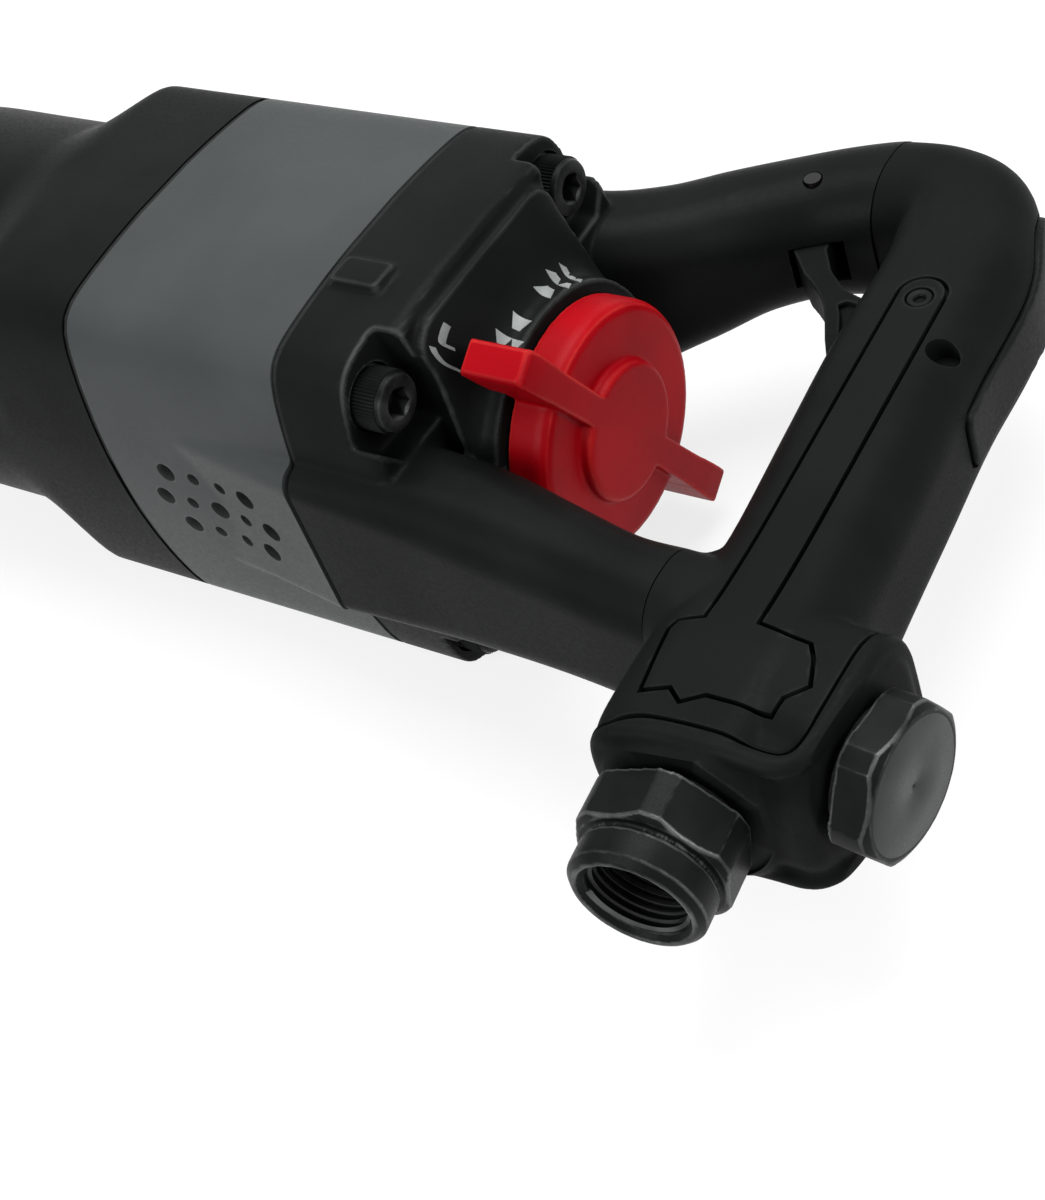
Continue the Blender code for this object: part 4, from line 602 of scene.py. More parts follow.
# Each row of holes, with b for a big one and s for a small one.
PATTERN = ("bssb", "bsbsb", "bssb")
CHAMBER = ((-183, 22, 12, 2), (-228.2, 22, 12, 2))
CHAMBER_HEIGHT = -33.5
tree, given = scatter_tree("exhaust_pins", ("Small radius", "Big radius", "Length"))
pin = add(tree, "GeometryNodeMeshCylinder", {"Vertices": 28, "Radius": 1.0, "Depth": 1.0}).outputs["Mesh"]
is_big = add(tree, "GeometryNodeInputNamedAttribute", {"Name": "big"}, data_type="FLOAT").outputs["Attribute"]
widths = {"Factor": is_big, "A": given["Small radius"], "B": given["Big radius"]}
width = add(tree, "ShaderNodeMix", widths).outputs[0]
scale = add(tree, "ShaderNodeCombineXYZ", {"X": width, "Y": width, "Z": given["Length"]}).outputs[0]
planted(tree, given, pin, grey_paint, Scale=scale, Rotation=(math.pi / 2, 0, 0))

holes, big = [], []
for row, kinds in enumerate(PATTERN):
    for k, kind in enumerate(kinds):
        x = HOLES_MIDDLE + HOLE_PITCH * ((len(kinds) - 1) / 2 - k)
        holes.append((x, HOLE_PITCH * (1 - row), HOLES_HEIGHT))
        big.append(1.0 if kind == "b" else 0.0)
pin_sizes = {"Small radius": 1.7 * MM, "Big radius": 2.6 * MM, "Length": 24 * MM}
pins = grown("exhaust_pins", holes, tree, pin_sizes, {"big": big})
carve(band, beam("chamber", CHAMBER, CHAMBER_HEIGHT), pins)
dress(band, grey_paint, "housing", "grey_paint", "motor_housing")

# %% [markdown]
# ## Rear cover and arms
# The cover closes the motor, carries the dial collar, and reaches back in two arms that hold the grip. All
# of it is one casting. The block, the flared collar and the two swept arms overlap, so casting rounds every
# crossing. The screw pockets, which are open through the corners, are cut before that, which rounds their
# rims, and the mating faces after it.

# %% Rear cover and arms
# The arms' rows are those of swept. The flare's are x before the knob's face, half width, half height and
# corner radius. The pocket's points lie about the screw's middle, outwards first.
LOWER_SEAM, UPPER_SEAM, SEAM_GAP = 43, 30, 0.3
LOWER_ARM = ((-54, -40.5, 12, 22, 5), (-50, -40.5, 12, 22, 5), (-22, -41.2, 12, 22.5, 9),
             (-5, -42, 12.3, 21.5, 10), (14, -44.5, 11.3, 20, 10), (30, -46.8, 10.8, 19, 10),
             (LOWER_SEAM, -47.6, 11.4, 19, 10), (50, -47.8, 11.6, 19, 10))
UPPER_ARM = ((-54, 40.5, 12, 22, 5), (-50, 40.5, 12, 22, 5), (-29, 43, 12.5, 22, 9),
             (-14, 52.5, 13.5, 19, 11.5), (-2, 63.5, 14, 17, 13), (11, 71.8, 14, 16.5, 13.5),
             (20, 75.6, 13.8, 17, 13), (UPPER_SEAM, 78.5, 13.5, 17.5, 12), (36, 79.4, 13.4, 17.5, 12))
FLARE = ((30, 45.9, 26.3, 7), (21.4, 45.7, 26.1, 7), (20.7, 44.8, 25.8, 7.5), (18.6, 39.6, 27.8, 17),
         (16.6, 35.1, 29.8, 26.5), (14.6, 32.3, 31.2, 31), (12.6, 31.5, 31.5, 31.5), (10.2, 31.5, 31.5, 31.5))
BOLT = 35.0
POCKET = ((25, -6), (25, 25), (-3.5, 25), (-5.1, 10.3), (-12, 5), (-12.5, -9), (-8.5, -11.4), (1.6, -9),
          (12.9, -7.2))
POCKET_FLOOR = -255.6
LUG_X, LUG_Z, LUG_ROOT, LUG_TOP = -245.3, -15.5, 40, 50.8
CORNERS = [(y, z) for y in (1, -1) for z in (1, -1)]
rings = [body_ring(-234), body_ring(-260), body_ring(-261.8, 0.6), body_ring(-262.6, 1.8)]
cover = skin("cover_casting", rings)
pockets = [plate("pocket", [(y * (BOLT + a), z * (BOLT + b)) for a, b in POCKET], -270, POCKET_FLOOR, "x")
           for y, z in CORNERS]
carve(cover, *pockets)
collar = beam("dial_collar", [(KNOB + x, *sizes) for x, *sizes in eased(FLARE, 4)])
lug = plate("cast_lug", [(LUG_X + a, LUG_Z + b) for a, b in section(6.4, 3.9, 1.2, 4)], LUG_ROOT, LUG_TOP)
gather(cover, collar, lug, swept("lower_arm", LOWER_ARM), swept("upper_arm", UPPER_ARM))
cast(cover, 0.7, 3)
print("cover cast:", len(cover.data.polygons), "faces")

# %% Milled faces of the cover
SLOT = 5.6
WIDE = 40
PIVOT_X, PIVOT_Z = KNOB - 15, 69.5
PIVOT = (PIVOT_X, 0, PIVOT_Z)
PIN_HOLE = 2.3
SCREW_SEAT, SCREW_WELL = -252, 7.5
KNOB_RECESS, MOTOR_HOLLOW, VALVE_BORE = 30.4, 27, 14
TRIGGER_WAY = ((5.3, 5.3), (-5.8, 5.3), (-10.5, -12.5), (-16, -20), (1, -20), (2.2, -12.5), (5.3, -5))


def behind(reach_a, reach_b, low, high):
    """A block between two reaches behind the knob's face and two heights, wider than the handle."""
    outline = ((KNOB - reach_a, low), (KNOB - reach_b, low), (KNOB - reach_b, high), (KNOB - reach_a, high))
    return plate("trim", outline, -WIDE, WIDE)


wells = [rod(SCREW_WELL, SCREW_SEAT, -290, (0, y * BOLT, z * BOLT), sides=48) for y, z in CORNERS]
carve(cover, beyond(BAND_BACK - GASKET_GAP, 1), behind(LOWER_SEAM, 90, -90, -20),
      behind(UPPER_SEAM, 90, 52, 120), *wells)
carve(cover, rod(KNOB_RECESS, KNOB + 10.2, -297), rod(MOTOR_HOLLOW, -230, -249.6),
      rod(VALVE_BORE, -245, -280),
      plate("trigger_way", [(PIVOT_X + a, PIVOT_Z + b) for a, b in TRIGGER_WAY], -SLOT, SLOT),
      rod(PIN_HOLE, -WIDE, WIDE, PIVOT, (0, 1, 0), 32))
dress(cover, black_paint, "housing", "black_paint", "handle_housing")

# %% [markdown]
# ## Grip
# The grip is moulded over the handle's core. It runs down from the upper arm, meets the lower arm at an
# elbow, and ends in a boss with the air inlet below and the oil plug behind. It is swept along the same
# path as the solid, cast soft, and then gets its crisp parting line, slots and beds. A rounded bead runs
# below the parting line, round the front of the foot and over the boss by the plug.

# %% Shape of the grip
GRIP = ((22, 77.2, 13.4, 17.4, 12), (30.3, 78.55, 13.5, 17.5, 12), (41, 77.5, 14, 18.2, 11.5),
        (49.5, 72.5, 15, 18.8, 11), (54, 63, 16.2, 18.5, 11.5), (56.5, 50, 17, 18.5, 11.8),
        (57.5, 25, 17, 18.5, 11.8), (60, 0, 17, 18.5, 11.8), (63, -30, 17, 18.5, 11.8),
        (64, -46, 18, 19.1, 11), (64.2, -60, 18, 20.4, 9), (64.4, -78, 17.8, 20.2, 9),
        (64.6, -82.5, 17.3, 19.2, 9.5), (64.8, -85.6, 15.8, 17.2, 10), (64.9, -87, 13.5, 15.5, 10))
ELBOW = ((34, -46.9, 11, 19, 10), (43.3, -47.6, 11.4, 19, 10), (50, -49, 13, 18.9, 10),
         (64, -54, 18, 18.4, 9))
WEB = ((30, -37.6), (36, -37.4), (41.2, -36.5), (44.2, -35.3), (46.4, -33.4), (47.9, -30.6), (48.4, -27),
       (48.2, -22))
WEB_INSIDE = ((62, -22), (62, -48), (30, -48))
WEB_SPREAD = (-14.5, -11.5, -8, -4, 0, 4, 8, 11.5, 14.5)
WEB_ROUND, WEB_SLANT = 3.2, 0.7
BEAD = ((48.8, 0, -84.6), (48.9, 8, -84.6), (50, 13.6, -84.6), (52.8, 16.9, -84.5), (57, 17.8, -83.5),
        (64, 17.8, -82.3), (77, 17.2, -81.5), (84.2, 16.8, -81.3), (87.6, 16.8, -79.6), (89.2, 17.3, -76),
        (90.1, 17.9, -68), (90.3, 18, -60), (90.3, 17.3, -53.5), (90.3, 14, -48), (90.3, 8.5, -45.4),
        (90.3, 0, -45))
BEAD_RADIUS = 2.3
# Rows of the boss and the heel: where a ring lies, how much smaller it is, and the boss's corner radius.
BOSS = ((38.8, 0.3, 12), (14, 0, 12), (11.4, 1.2, 11.5), (10, 3.2, 11))
BOSS_HALF_WIDTH, BOSS_HALF_HEIGHT, BOSS_RISE = 20, 18.7, 2.3
HEEL = ((60, 0), (86.5, 0), (88.8, 0.8), (90.2, 2.4))
HEEL_HALF_WIDTH, HEEL_HALF_HEIGHT, HEEL_CORNER, HEEL_HEIGHT = 18, 13.4, 9, -70
PLUG = Vector((KNOB - 101.8, 0, -66.1))
PLUG_TILT, MOUTH_TILT = math.radians(4.8), math.radians(6.3)
PLUG_IN = Vector((math.cos(PLUG_TILT), 0, math.sin(PLUG_TILT)))
MOUTH = Vector((KNOB - 66, 0, -107.3))
MOUTH_IN = Vector((math.sin(MOUTH_TILT), 0, math.cos(MOUTH_TILT)))
print("plug and inlet lie", round((PLUG - MOUTH).length, 1), "mm apart")

# %% Grip body
def bead_form(side):
    """The round bead on one side of the grip, its section carried along without a twist."""
    spine = [Vector((KNOB - a, side * b, c)) for a, b, c in eased(BEAD, 4)]
    turns = np.radians(range(0, 360, 20))
    rings = []
    across = Vector((0, 0, 1))
    for i, point in enumerate(spine):
        run = (spine[min(i + 1, len(spine) - 1)] - spine[max(i - 1, 0)]).normalized()
        across = (across - run * across.dot(run)).normalized()
        out = run.cross(across)
        rings.append([point + (across * math.cos(a) + out * math.sin(a)) * BEAD_RADIUS for a in turns])
    return skin("bead", rings)


def boss_form(grow):
    """The boss behind the heel, square to the oil plug."""
    rise = PLUG_IN.cross(Vector((0, 1, 0)))
    rings = []
    for reach, less, corner in BOSS:
        centre = PLUG + PLUG_IN * reach + rise * BOSS_RISE
        more = grow - less
        ring = section(BOSS_HALF_WIDTH + more, BOSS_HALF_HEIGHT + more, corner + grow)
        rings.append([centre + Vector((0, a, 0)) + rise * b for a, b in ring])
    return skin("boss", rings)


def heel_form(grow):
    """The block that fills the corner between the foot and the boss."""
    rows = []
    for reach, less in HEEL:
        more = grow - less
        rows.append((KNOB - reach, HEEL_HALF_WIDTH + more, HEEL_HALF_HEIGHT + more, HEEL_CORNER + grow))
    return beam("heel", rows, HEEL_HEIGHT)


def web_form(grow):
    """The web that rounds the inside of the elbow, drawn in towards its sides."""
    rings = []
    for y in WEB_SPREAD:
        inset = (WEB_ROUND * (abs(y) / max(WEB_SPREAD)) ** 3 - grow) * WEB_SLANT
        outer = [(KNOB - a - inset, y, b - inset) for a, b in WEB]
        rings.append(outer + [(KNOB - a, y, b) for a, b in WEB_INSIDE])
    return skin("web", rings)


def grip_form(name, grow=0.0, beads=False):
    """The whole moulded form, a little larger or smaller, with or without its beads."""
    added = [bead_form(side) for side in (1, -1)] if beads else []
    return gather(swept(name, GRIP, grow), swept("elbow", ELBOW, grow), boss_form(grow), heel_form(grow),
                  web_form(grow), *added)


def under_skin(name, depth):
    """The grip's form at a depth under its skin, where a cut stops."""
    return cast(grip_form(name, -depth), 0.9, 5)


grip = grip_form("grip_moulding", beads=True)
cast(grip, 0.7, 5)
carve(grip, behind(-30, UPPER_SEAM + SEAM_GAP, 40, 120), behind(0, LOWER_SEAM + SEAM_GAP, -90, -20))
print("grip cast:", len(grip.data.polygons), "faces")

# %% Palm pad's bed
PAD_EDGE = ((5, 15.2), (7, 16.8), (7.4, 19.5), (7.6, 36), (8.2, 50), (9.4, 57.5), (11, 63), (11.4, 69),
            (9, 76), (4, 79))
PAD_FOOT = 16
PAD_GAP, PAD_BED_DEPTH = 0.5, 2.6
PAD_BACK, PAD_FRONT = KNOB - 120, KNOB - 56


def pad_zone(name, grow):
    """The block behind the grip that the pad is kept in, seen from behind."""
    half = [(a + grow, b - (grow if b < PAD_FOOT else 0)) for a, b in eased(PAD_EDGE, 3)]
    return plate(name, half + [(-a, b) for a, b in half[::-1]], PAD_BACK, PAD_FRONT, "x")


carve(grip, carve(pad_zone("pad_bed", PAD_GAP), under_skin("pad_floor", PAD_BED_DEPTH)))
print("palm pad's bed cut")

# %% Outline of the inlays
BADGE = ((58, 52), (58, 56.4), (53.5, 58.7), (52.7, 61), (55.2, 76), (60.3, 73.6), (63.5, 76), (67.6, 73.1),
         (80.6, 72.8), (81.1, 68.8), (84.5, 65), (82.2, 59.2), (80, 56), (68.4, 54.5), (68.4, 52))
STRIP_REACH, STRIP_LEAN = 59.85, 0.0614
STRIP_HALF, STRIP_TOP, STRIP_FOOT, STRIP_SHOULDER = 5.2, 37, -52, -54.5


def strip_x(height):
    """The x of the strip's centre line, which leans with the grip."""
    return KNOB - STRIP_REACH + STRIP_LEAN * height


def inlay_outline(grow):
    """The strip with its round top, running down into the plate at its foot."""
    half = STRIP_HALF + grow
    middle = strip_x(STRIP_TOP)
    turns = np.linspace(0, math.pi, 17)
    top = [(middle + half * math.cos(a), STRIP_TOP + half * math.sin(a)) for a in turns]
    foot = [Vector((KNOB - a, -b)) for a, b in BADGE[::-1]]
    moved = []
    for before, point, after in zip(foot[-1:] + foot[:-1], foot, foot[1:] + foot[:1]):
        into = (point - before).normalized()
        out = (after - point).normalized()
        one = Vector((into.y, -into.x))
        two = Vector((out.y, -out.x))
        moved.append(tuple(point + (one + two) * (grow / (1 + one.dot(two)))))
    moved[0] = (strip_x(STRIP_FOOT) - half, STRIP_FOOT)
    moved[-1] = (strip_x(STRIP_FOOT) + half, STRIP_FOOT)
    moved[1] = (strip_x(STRIP_SHOULDER) - half, STRIP_SHOULDER + grow)
    return top + moved


print("inlay outline:", len(inlay_outline(0)), "points")

# %% Grip slots, beds and parting line
BED_FLOOR, BED_GAP = 16.4, 0.5
TRIGGER_SLOT = ((30, 17), (30, 57), (42.5, 57), (49.5, 50), (49.5, 20.5), (46, 17))
CROSS_HOLE, CROSS_RADIUS = (KNOB - 68.4, 0, 23.4), 3.3
PARTING = ((44, -86), (51.7, -84.2), (54.8, -82.3), (59.4, -80.6), (67.9, -79.8), (76.6, -79.6),
           (84.4, -79.7), (87.2, -78.2), (88.2, -75.2), (88.4, -71), (88.4, -60), (88.4, -48), (88.4, -36))
GROOVE_UPPER, GROOVE_LOWER, GROOVE_DEPTH = (0.2, 0.5), (-0.6, -0.4), 1.2
INLET_SEAT = [(0, 0), (18.6, 0), (18.6, 21.4), (10.8, 21.4), (10.8, 36), (0, 36)]
PLUG_SEAT = [(0, -10), (30, -10), (30, 9.9), (9.3, 9.9), (9.3, 26), (0, 26)]
line = eased(PARTING, 4)
upper, lower = [[(KNOB - a + x, b + z) for a, b in line] for x, z in (GROOVE_UPPER, GROOVE_LOWER)]
groove = plate("parting_line", upper + lower[::-1], -WIDE, WIDE)
carve(grip, carve(groove, under_skin("grip_core", GROOVE_DEPTH)))
bed = inlay_outline(BED_GAP)
carve(grip, plate("inlay_bed", bed, BED_FLOOR, WIDE), plate("inlay_bed", bed, -WIDE, -BED_FLOOR))
carve(grip, plate("trigger_slot", [(KNOB - a, b) for a, b in TRIGGER_SLOT], -SLOT, SLOT),
      turned("inlet_seat", INLET_SEAT, MOUTH, MOUTH_IN), turned("plug_seat", PLUG_SEAT, PLUG, PLUG_IN),
      rod(CROSS_RADIUS, 12.5, 30, CROSS_HOLE, (0, 1, 0), 40))
dress(grip, grip_moulding, "housing", "black_moulding", "grip")

# %% [markdown]
# ## Rear pad and inlays
# A soft pad sits in the back of the grip where the palm presses, standing a little proud of it. The two
# inlays are flush strips that follow the grip's skin. Each is the grip's own form, slightly larger, kept
# only inside an outline, so its face follows the same curves.

# %% Rear pad
PAD_PROUD, PAD_TRIM, PAD_DEPTH = 1.1, 0.4, 2.2
pad = cast(grip_form("palm_pad", PAD_PROUD), 0.8, 5)
combine(pad, [pad_zone("pad_keep", -PAD_TRIM)], "INTERSECT")
carve(pad, under_skin("pad_core", PAD_DEPTH))
cast(pad, 0.5, 3)
dress(pad, inlay_moulding, "housing", "black_rubber", "rear_pad", flat=0)

# %% Inlays
STRIP_FLOOR, STRIP_PROUD, STRIP_TRIM = 16.9, 0.1, 0.45
COUNTERBORE = 3.1
SCREW_AT = (strip_x(STRIP_TOP), 0, STRIP_TOP - 1)
SCREW_HEAD = [(0, 10.7), (1.3, 10.7), (1.3, 17.45), (2.8, 17.45), (2.8, 18.1), (2.5, 18.5), (1.5, 18.3),
              (1.2, 17.9), (1.2, 17.3), (0, 17.3)]
for name, side in (("left", 1), ("right", -1)):
    low, high = sorted((side * STRIP_FLOOR, side * WIDE))
    strip = cast(grip_form(name + "_inlay_strip", STRIP_PROUD), 0.8, 5)
    combine(strip, [plate("strip_keep", inlay_outline(-STRIP_TRIM), low, high)], "INTERSECT")
    carve(strip, rod(COUNTERBORE, 17.4, 30, SCREW_AT, (0, side, 0), 48))
    dress(strip, inlay_moulding, "housing", "black_moulding", name + "_inlay", flat=30)
    screw = turned(name + "_inlay_fixing", SCREW_HEAD, SCREW_AT, (0, side, 0), 40)
    dress(screw, knurl_steel, "housing", "black_oxide_steel", name + "_inlay_screw")

# %% [markdown]
# ## Regulator knob
# The red knob turns the power regulator. Its cap has a raised middle, and two wings reach out and then
# forward over the collar to point at the marks. It is moulded, so the lathe shape and the wings are cast
# together and smoothed just enough to leave small radii.

# %% Knob
CAP = ((0, 9.9), (28.4, 9.9), (28.4, 3.2), (28.2, 1.8), (27.4, 0.5), (26, 0), (15.8, 0), (15.8, -1.2),
       (15.5, -2.2), (14.6, -2.8), (0, -2.8))
# Rows of a wing: distance from the axis, half width, back and front.
SPOKE = ((6, 3.3, -2.8, 6), (18, 3.4, -2.8, 6), (28, 3.5, -2.8, 9.9), (33.2, 3.6, -2.8, 9.9),
         (33.4, 3.7, -2.8, 12.6), (39, 3.9, -2.8, 13), (45, 4.0, -2.6, 13), (46.2, 3.4, -1.8, 12.2))
WING_TURNS = (-30, 150)
SPINDLE_HOLE = 5.3
cap = turned("regulator_cap", [(radius, KNOB + level) for radius, level in CAP], sides=128)
wings = []
for angle in WING_TURNS:
    out = Vector((0, math.cos(math.radians(angle)), math.sin(math.radians(angle))))
    across = Vector((0, -out.z, out.y))
    spoke = []
    for r, half, back, front in SPOKE:
        corners = ((back, -half), (front, -half), (front, half), (back, half))
        spoke.append([(KNOB + x, *(out * r + across * w).yz) for x, w in corners])
    wings.append(skin("wing", spoke))
gather(cap, *wings)
cast(cap, 0.45, 3)
carve(cap, rod(SPINDLE_HOLE, KNOB + 3.6, KNOB + 11, sides=48))
dress(cap, red_nylon, "regulator", "red_plastic", "regulator_knob", flat=0)

# %% [markdown]
# ## Dial marks
# Pale printed wedges round the collar show the power steps: one, two and three wedges on either side of the
# middle, each pointing away from it. They follow a rule, so points with a turn stored on them drive a
# Geometry Nodes tree that sets a thin wedge on each. A printed arc with a barb beside the pointer shows which
# way it turns. The collar flares, so every corner of the print is then dropped onto its skin.

# %% Dial marks
tree, given = scatter_tree("power_marks", ("Length", "Width", "Thickness", "Lean"))
edges = {"X": given["Length"], "Y": given["Width"], "Z": given["Thickness"]}
size = add(tree, "ShaderNodeCombineXYZ", edges).outputs[0]
bar = add(tree, "GeometryNodeMeshCube", {"Size": size, "Vertices X": 6, "Vertices Y": 5, "Vertices Z": 2})
spot = add(tree, "GeometryNodeInputPosition").outputs[0]
parts = add(tree, "ShaderNodeSeparateXYZ", {"Vector": spot}).outputs
lean = add(tree, "ShaderNodeMath", {0: parts["Y"], 1: given["Width"]}, operation="DIVIDE").outputs[0]
lean = add(tree, "ShaderNodeMath", {0: lean, 1: given["Lean"]}, operation="MULTIPLY").outputs[0]
taper = add(tree, "ShaderNodeMath", {0: lean, 1: -0.6, 2: 0.7}, operation="MULTIPLY_ADD").outputs[0]
narrow = add(tree, "ShaderNodeMath", {0: parts["X"], 1: taper}, operation="MULTIPLY").outputs[0]
wedge_at = add(tree, "ShaderNodeCombineXYZ", {"X": narrow, "Y": parts["Y"], "Z": parts["Z"]}).outputs[0]
moved = {"Geometry": bar.outputs["Mesh"], "Position": wedge_at}
wedge = add(tree, "GeometryNodeSetPosition", moved).outputs[0]
stored = [add(tree, "GeometryNodeInputNamedAttribute", {"Name": key}, data_type="FLOAT")
          for key in ("turn", "size")]
angle, bigness = [each.outputs["Attribute"] for each in stored]
face = add(tree, "ShaderNodeCombineXYZ", {"X": angle}).outputs[0]
spread = add(tree, "ShaderNodeCombineXYZ", {"X": bigness, "Y": bigness, "Z": 1.0}).outputs[0]
planted(tree, given, wedge, pale_print, Rotation=face, Scale=spread)

MIDDLE = 2.4
# Rows of wedges: their size, their turn from the middle in degrees, and where they lie along the collar.
LEVELS = ((1.0, 9.9, (13.6,)), (0.7, 18.8, (12, 14.8)), (0.55, 26.5, (11.7, 13.4, 15.1)))
COLLAR = 31.5
prints = []
for side in (1, -1):
    spots, turns, sizes = [], [], []
    for size, away, places in LEVELS:
        angle = math.radians(MIDDLE + side * away)
        for x in places:
            spots.append((KNOB + x, COLLAR * math.cos(angle), COLLAR * math.sin(angle)))
            turns.append(angle)
            sizes.append(size)
    sizes_given = {"Length": 4 * MM, "Width": 3.3 * MM, "Thickness": 0.4 * MM, "Lean": -float(side)}
    prints.append(grown("dial_print", spots, tree, sizes_given, {"turn": turns, "size": sizes}))
print("wedges on each side of the middle:", len(spots))

# %% Printed arc and barb
FLARE_RADIUS = 42
LINE_HALF_WIDTH, LINE_HALF_THICKNESS = 0.3, 0.2
ARC = ((20.2, -29.8), (19.8, -31.2), (19, -32.6), (17.6, -33))
BARB = ((19.7, -22.8), (19.65, -25.5), (19.55, -27.7), (19.2, -28), (18.5, -27.8))
PRINT_LIFT, PRINT_SINK = 0.14, 0.25
OUTSIDE = 90


def ribbon(path):
    """A printed line along points that each give a place before the knob's face and a turn in degrees."""
    dense = eased(path, 14)
    rings = []
    for i, (x, turn) in enumerate(dense):
        run = (dense[min(i + 1, len(dense) - 1)] - dense[max(i - 1, 0)]) * (1, math.radians(FLARE_RADIUS))
        side = run[::-1] * (-1, 1) / np.linalg.norm(run) * LINE_HALF_WIDTH
        ring = []
        for sign, upper in ((1, 1), (-1, 1), (-1, -1), (1, -1)):
            angle = math.radians(turn) + sign * side[1] / FLARE_RADIUS
            radius = COLLAR + upper * LINE_HALF_THICKNESS
            ring.append((KNOB + x + sign * side[0], radius * math.cos(angle), radius * math.sin(angle)))
        rings.append(ring)
    return skin("printed_line", rings)


def lay_on(prints, body):
    """Drops a print onto a body towards the drive axis: its upper side just clear, its lower side sunk."""
    tree = BVHTree.FromObject(body, bpy.context.evaluated_depsgraph_get())
    for vertex in prints.data.vertices:
        x, y, z = vertex.co
        out = Vector((0, y, z)).normalized()
        above = Vector((0, y, z)).length > COLLAR * MM
        hit = tree.ray_cast(Vector((x, 0, 0)) + out * OUTSIDE * MM, -out)[0]
        if hit:
            vertex.co = hit + out * MM * (PRINT_LIFT if above else -PRINT_SINK)


dial_print = gather(*prints, ribbon(ARC), ribbon(BARB))
lay_on(dial_print, cover)
dress(dial_print, pale_print, "housing", "grey_paint")

# %% [markdown]
# ## Cap screws
# Four knurled cap screws with hexagon sockets pull the cover and the motor onto the hammer case. The knurl
# is a ring of small ridges, so a Geometry Nodes tree stands them round a circle and sets that ring on each
# of the four heads.

# %% Cap screws and washers
WASHER_ROOM, HEAD_LENGTH = 2.6, 8.0
HEAD_BACK = SCREW_SEAT - WASHER_ROOM - HEAD_LENGTH
# A point near each end of the shank keeps the wear of that end from spreading along it.
SCREW = [(0, -152), (3.4, -152), (4, -153), (4, -154), (4, -253.8), (4, -254.6), (6.4, -254.6), (6.5, -255.4),
         (6.5, -261.4), (6.1, -262.3), (5.6, HEAD_BACK), (0, HEAD_BACK)]
SOCKET_MOUTH = [(0, -262), (3.0, -262), (4.1, -263), (4.1, -264), (0, -264)]
WASHER = [(4.3, -252.3), (6.7, -252.3), (6.9, -252.7), (6.9, -253.9), (6.7, -254.3), (4.3, -254.3)]
HEX_SOCKET = 3.55
for y, z in CORNERS:
    name = ("left" if y > 0 else "right") + "_" + ("upper" if z > 0 else "lower")
    at = (0, y * BOLT, z * BOLT)
    screw = turned("socket_screw_" + name, SCREW, at, sides=64)
    mouth = turned("socket_mouth", SOCKET_MOUTH, at, sides=48)
    carve(screw, rod(HEX_SOCKET, -258.2, -266, at, sides=6), mouth)
    dress(screw, black_steel, "housing", "black_oxide_steel", "cap_screw_" + name)
    ring = turned("spring_washer_" + name, WASHER, at, sides=64)
    dress(ring, black_steel, "housing", "black_oxide_steel", "lock_washer_" + name)

# %% Knurl of the heads
KNURL_MIDDLE = -258.4
tree, given = scatter_tree("knurl", ("Ridges", "Radius", "Ridge", "Length"))
circle = add(tree, "GeometryNodeMeshCircle", {"Vertices": given["Ridges"], "Radius": given["Radius"]})
edges = {"X": given["Ridge"], "Y": given["Ridge"], "Z": given["Length"]}
size = add(tree, "ShaderNodeCombineXYZ", edges).outputs[0]
ridge_bar = add(tree, "GeometryNodeMeshCube", {"Size": size}).outputs["Mesh"]
quarter_turn = {"Geometry": ridge_bar, "Rotation": (0, 0, math.pi / 4)}
ridge_bar = add(tree, "GeometryNodeTransform", quarter_turn).outputs[0]
spot = add(tree, "GeometryNodeInputPosition").outputs[0]
facing = add(tree, "FunctionNodeAlignRotationToVector", {"Vector": spot}, axis="X").outputs[0]
dots = add(tree, "GeometryNodeMeshToPoints", {"Mesh": circle.outputs["Mesh"]}).outputs[0]
placing = {"Points": dots, "Instance": ridge_bar, "Rotation": facing}
ring = add(tree, "GeometryNodeInstanceOnPoints", placing).outputs[0]
ring = add(tree, "GeometryNodeRealizeInstances", {"Geometry": ring}).outputs[0]
planted(tree, given, ring, knurl_steel, Rotation=(0, math.pi / 2, 0))
heads = [(KNURL_MIDDLE, y * BOLT, z * BOLT) for y, z in CORNERS]
knurl_sizes = {"Ridges": 56, "Radius": 6.5 * MM, "Ridge": 0.5 * MM, "Length": 5.6 * MM}
knurl = grown("head_knurl", heads, tree, knurl_sizes)
dress(knurl, knurl_steel, "housing", "black_oxide_steel")

# %% [markdown]
# ## Air inlet and oil plug
# Both fittings are turned from hexagon bar and blackened. The lathe rounds the hexagon's ends, so each flat
# ends in a curve: a hexagonal bar is cut down by a turned cone. The inlet's thread is a spiral with a small
# three-sided section, made by a Geometry Nodes tree.

# %% Hexagon bar
HEX_FLATS = 30
CORNER_TURN = 7.5
CONE_SLOPE = 0.6


def hexagon(name, low, high, at, along, start, face):
    """A hexagonal bar with its corners turned down, and its outer end coned down to a round face."""
    side = Vector((0, 1, 0))
    other = along.cross(side)
    reach = HEX_FLATS / 2 / math.cos(math.radians(30 - CORNER_TURN))
    outline = []
    for k in range(6):
        for nudge in (-1, -1 / 3, 1 / 3, 1):
            angle = math.radians(start + 60 * k + nudge * CORNER_TURN)
            outline.append((side * math.cos(angle) + other * math.sin(angle)) * reach)
    hexagonal = skin(name, [[at + along * level + point for point in outline] for level in (low, high)])
    radius = reach + 0.5
    slope = (radius - face) * CONE_SLOPE
    front, back = low - 0.01, high + 0.01
    cone = [(0, front), (face, front), (radius, low + slope), (radius, back), (0, back)]
    return combine(hexagonal, [turned("turned_end", cone, at, along)], "INTERSECT")


print("hexagon across its flats:", HEX_FLATS, "mm")

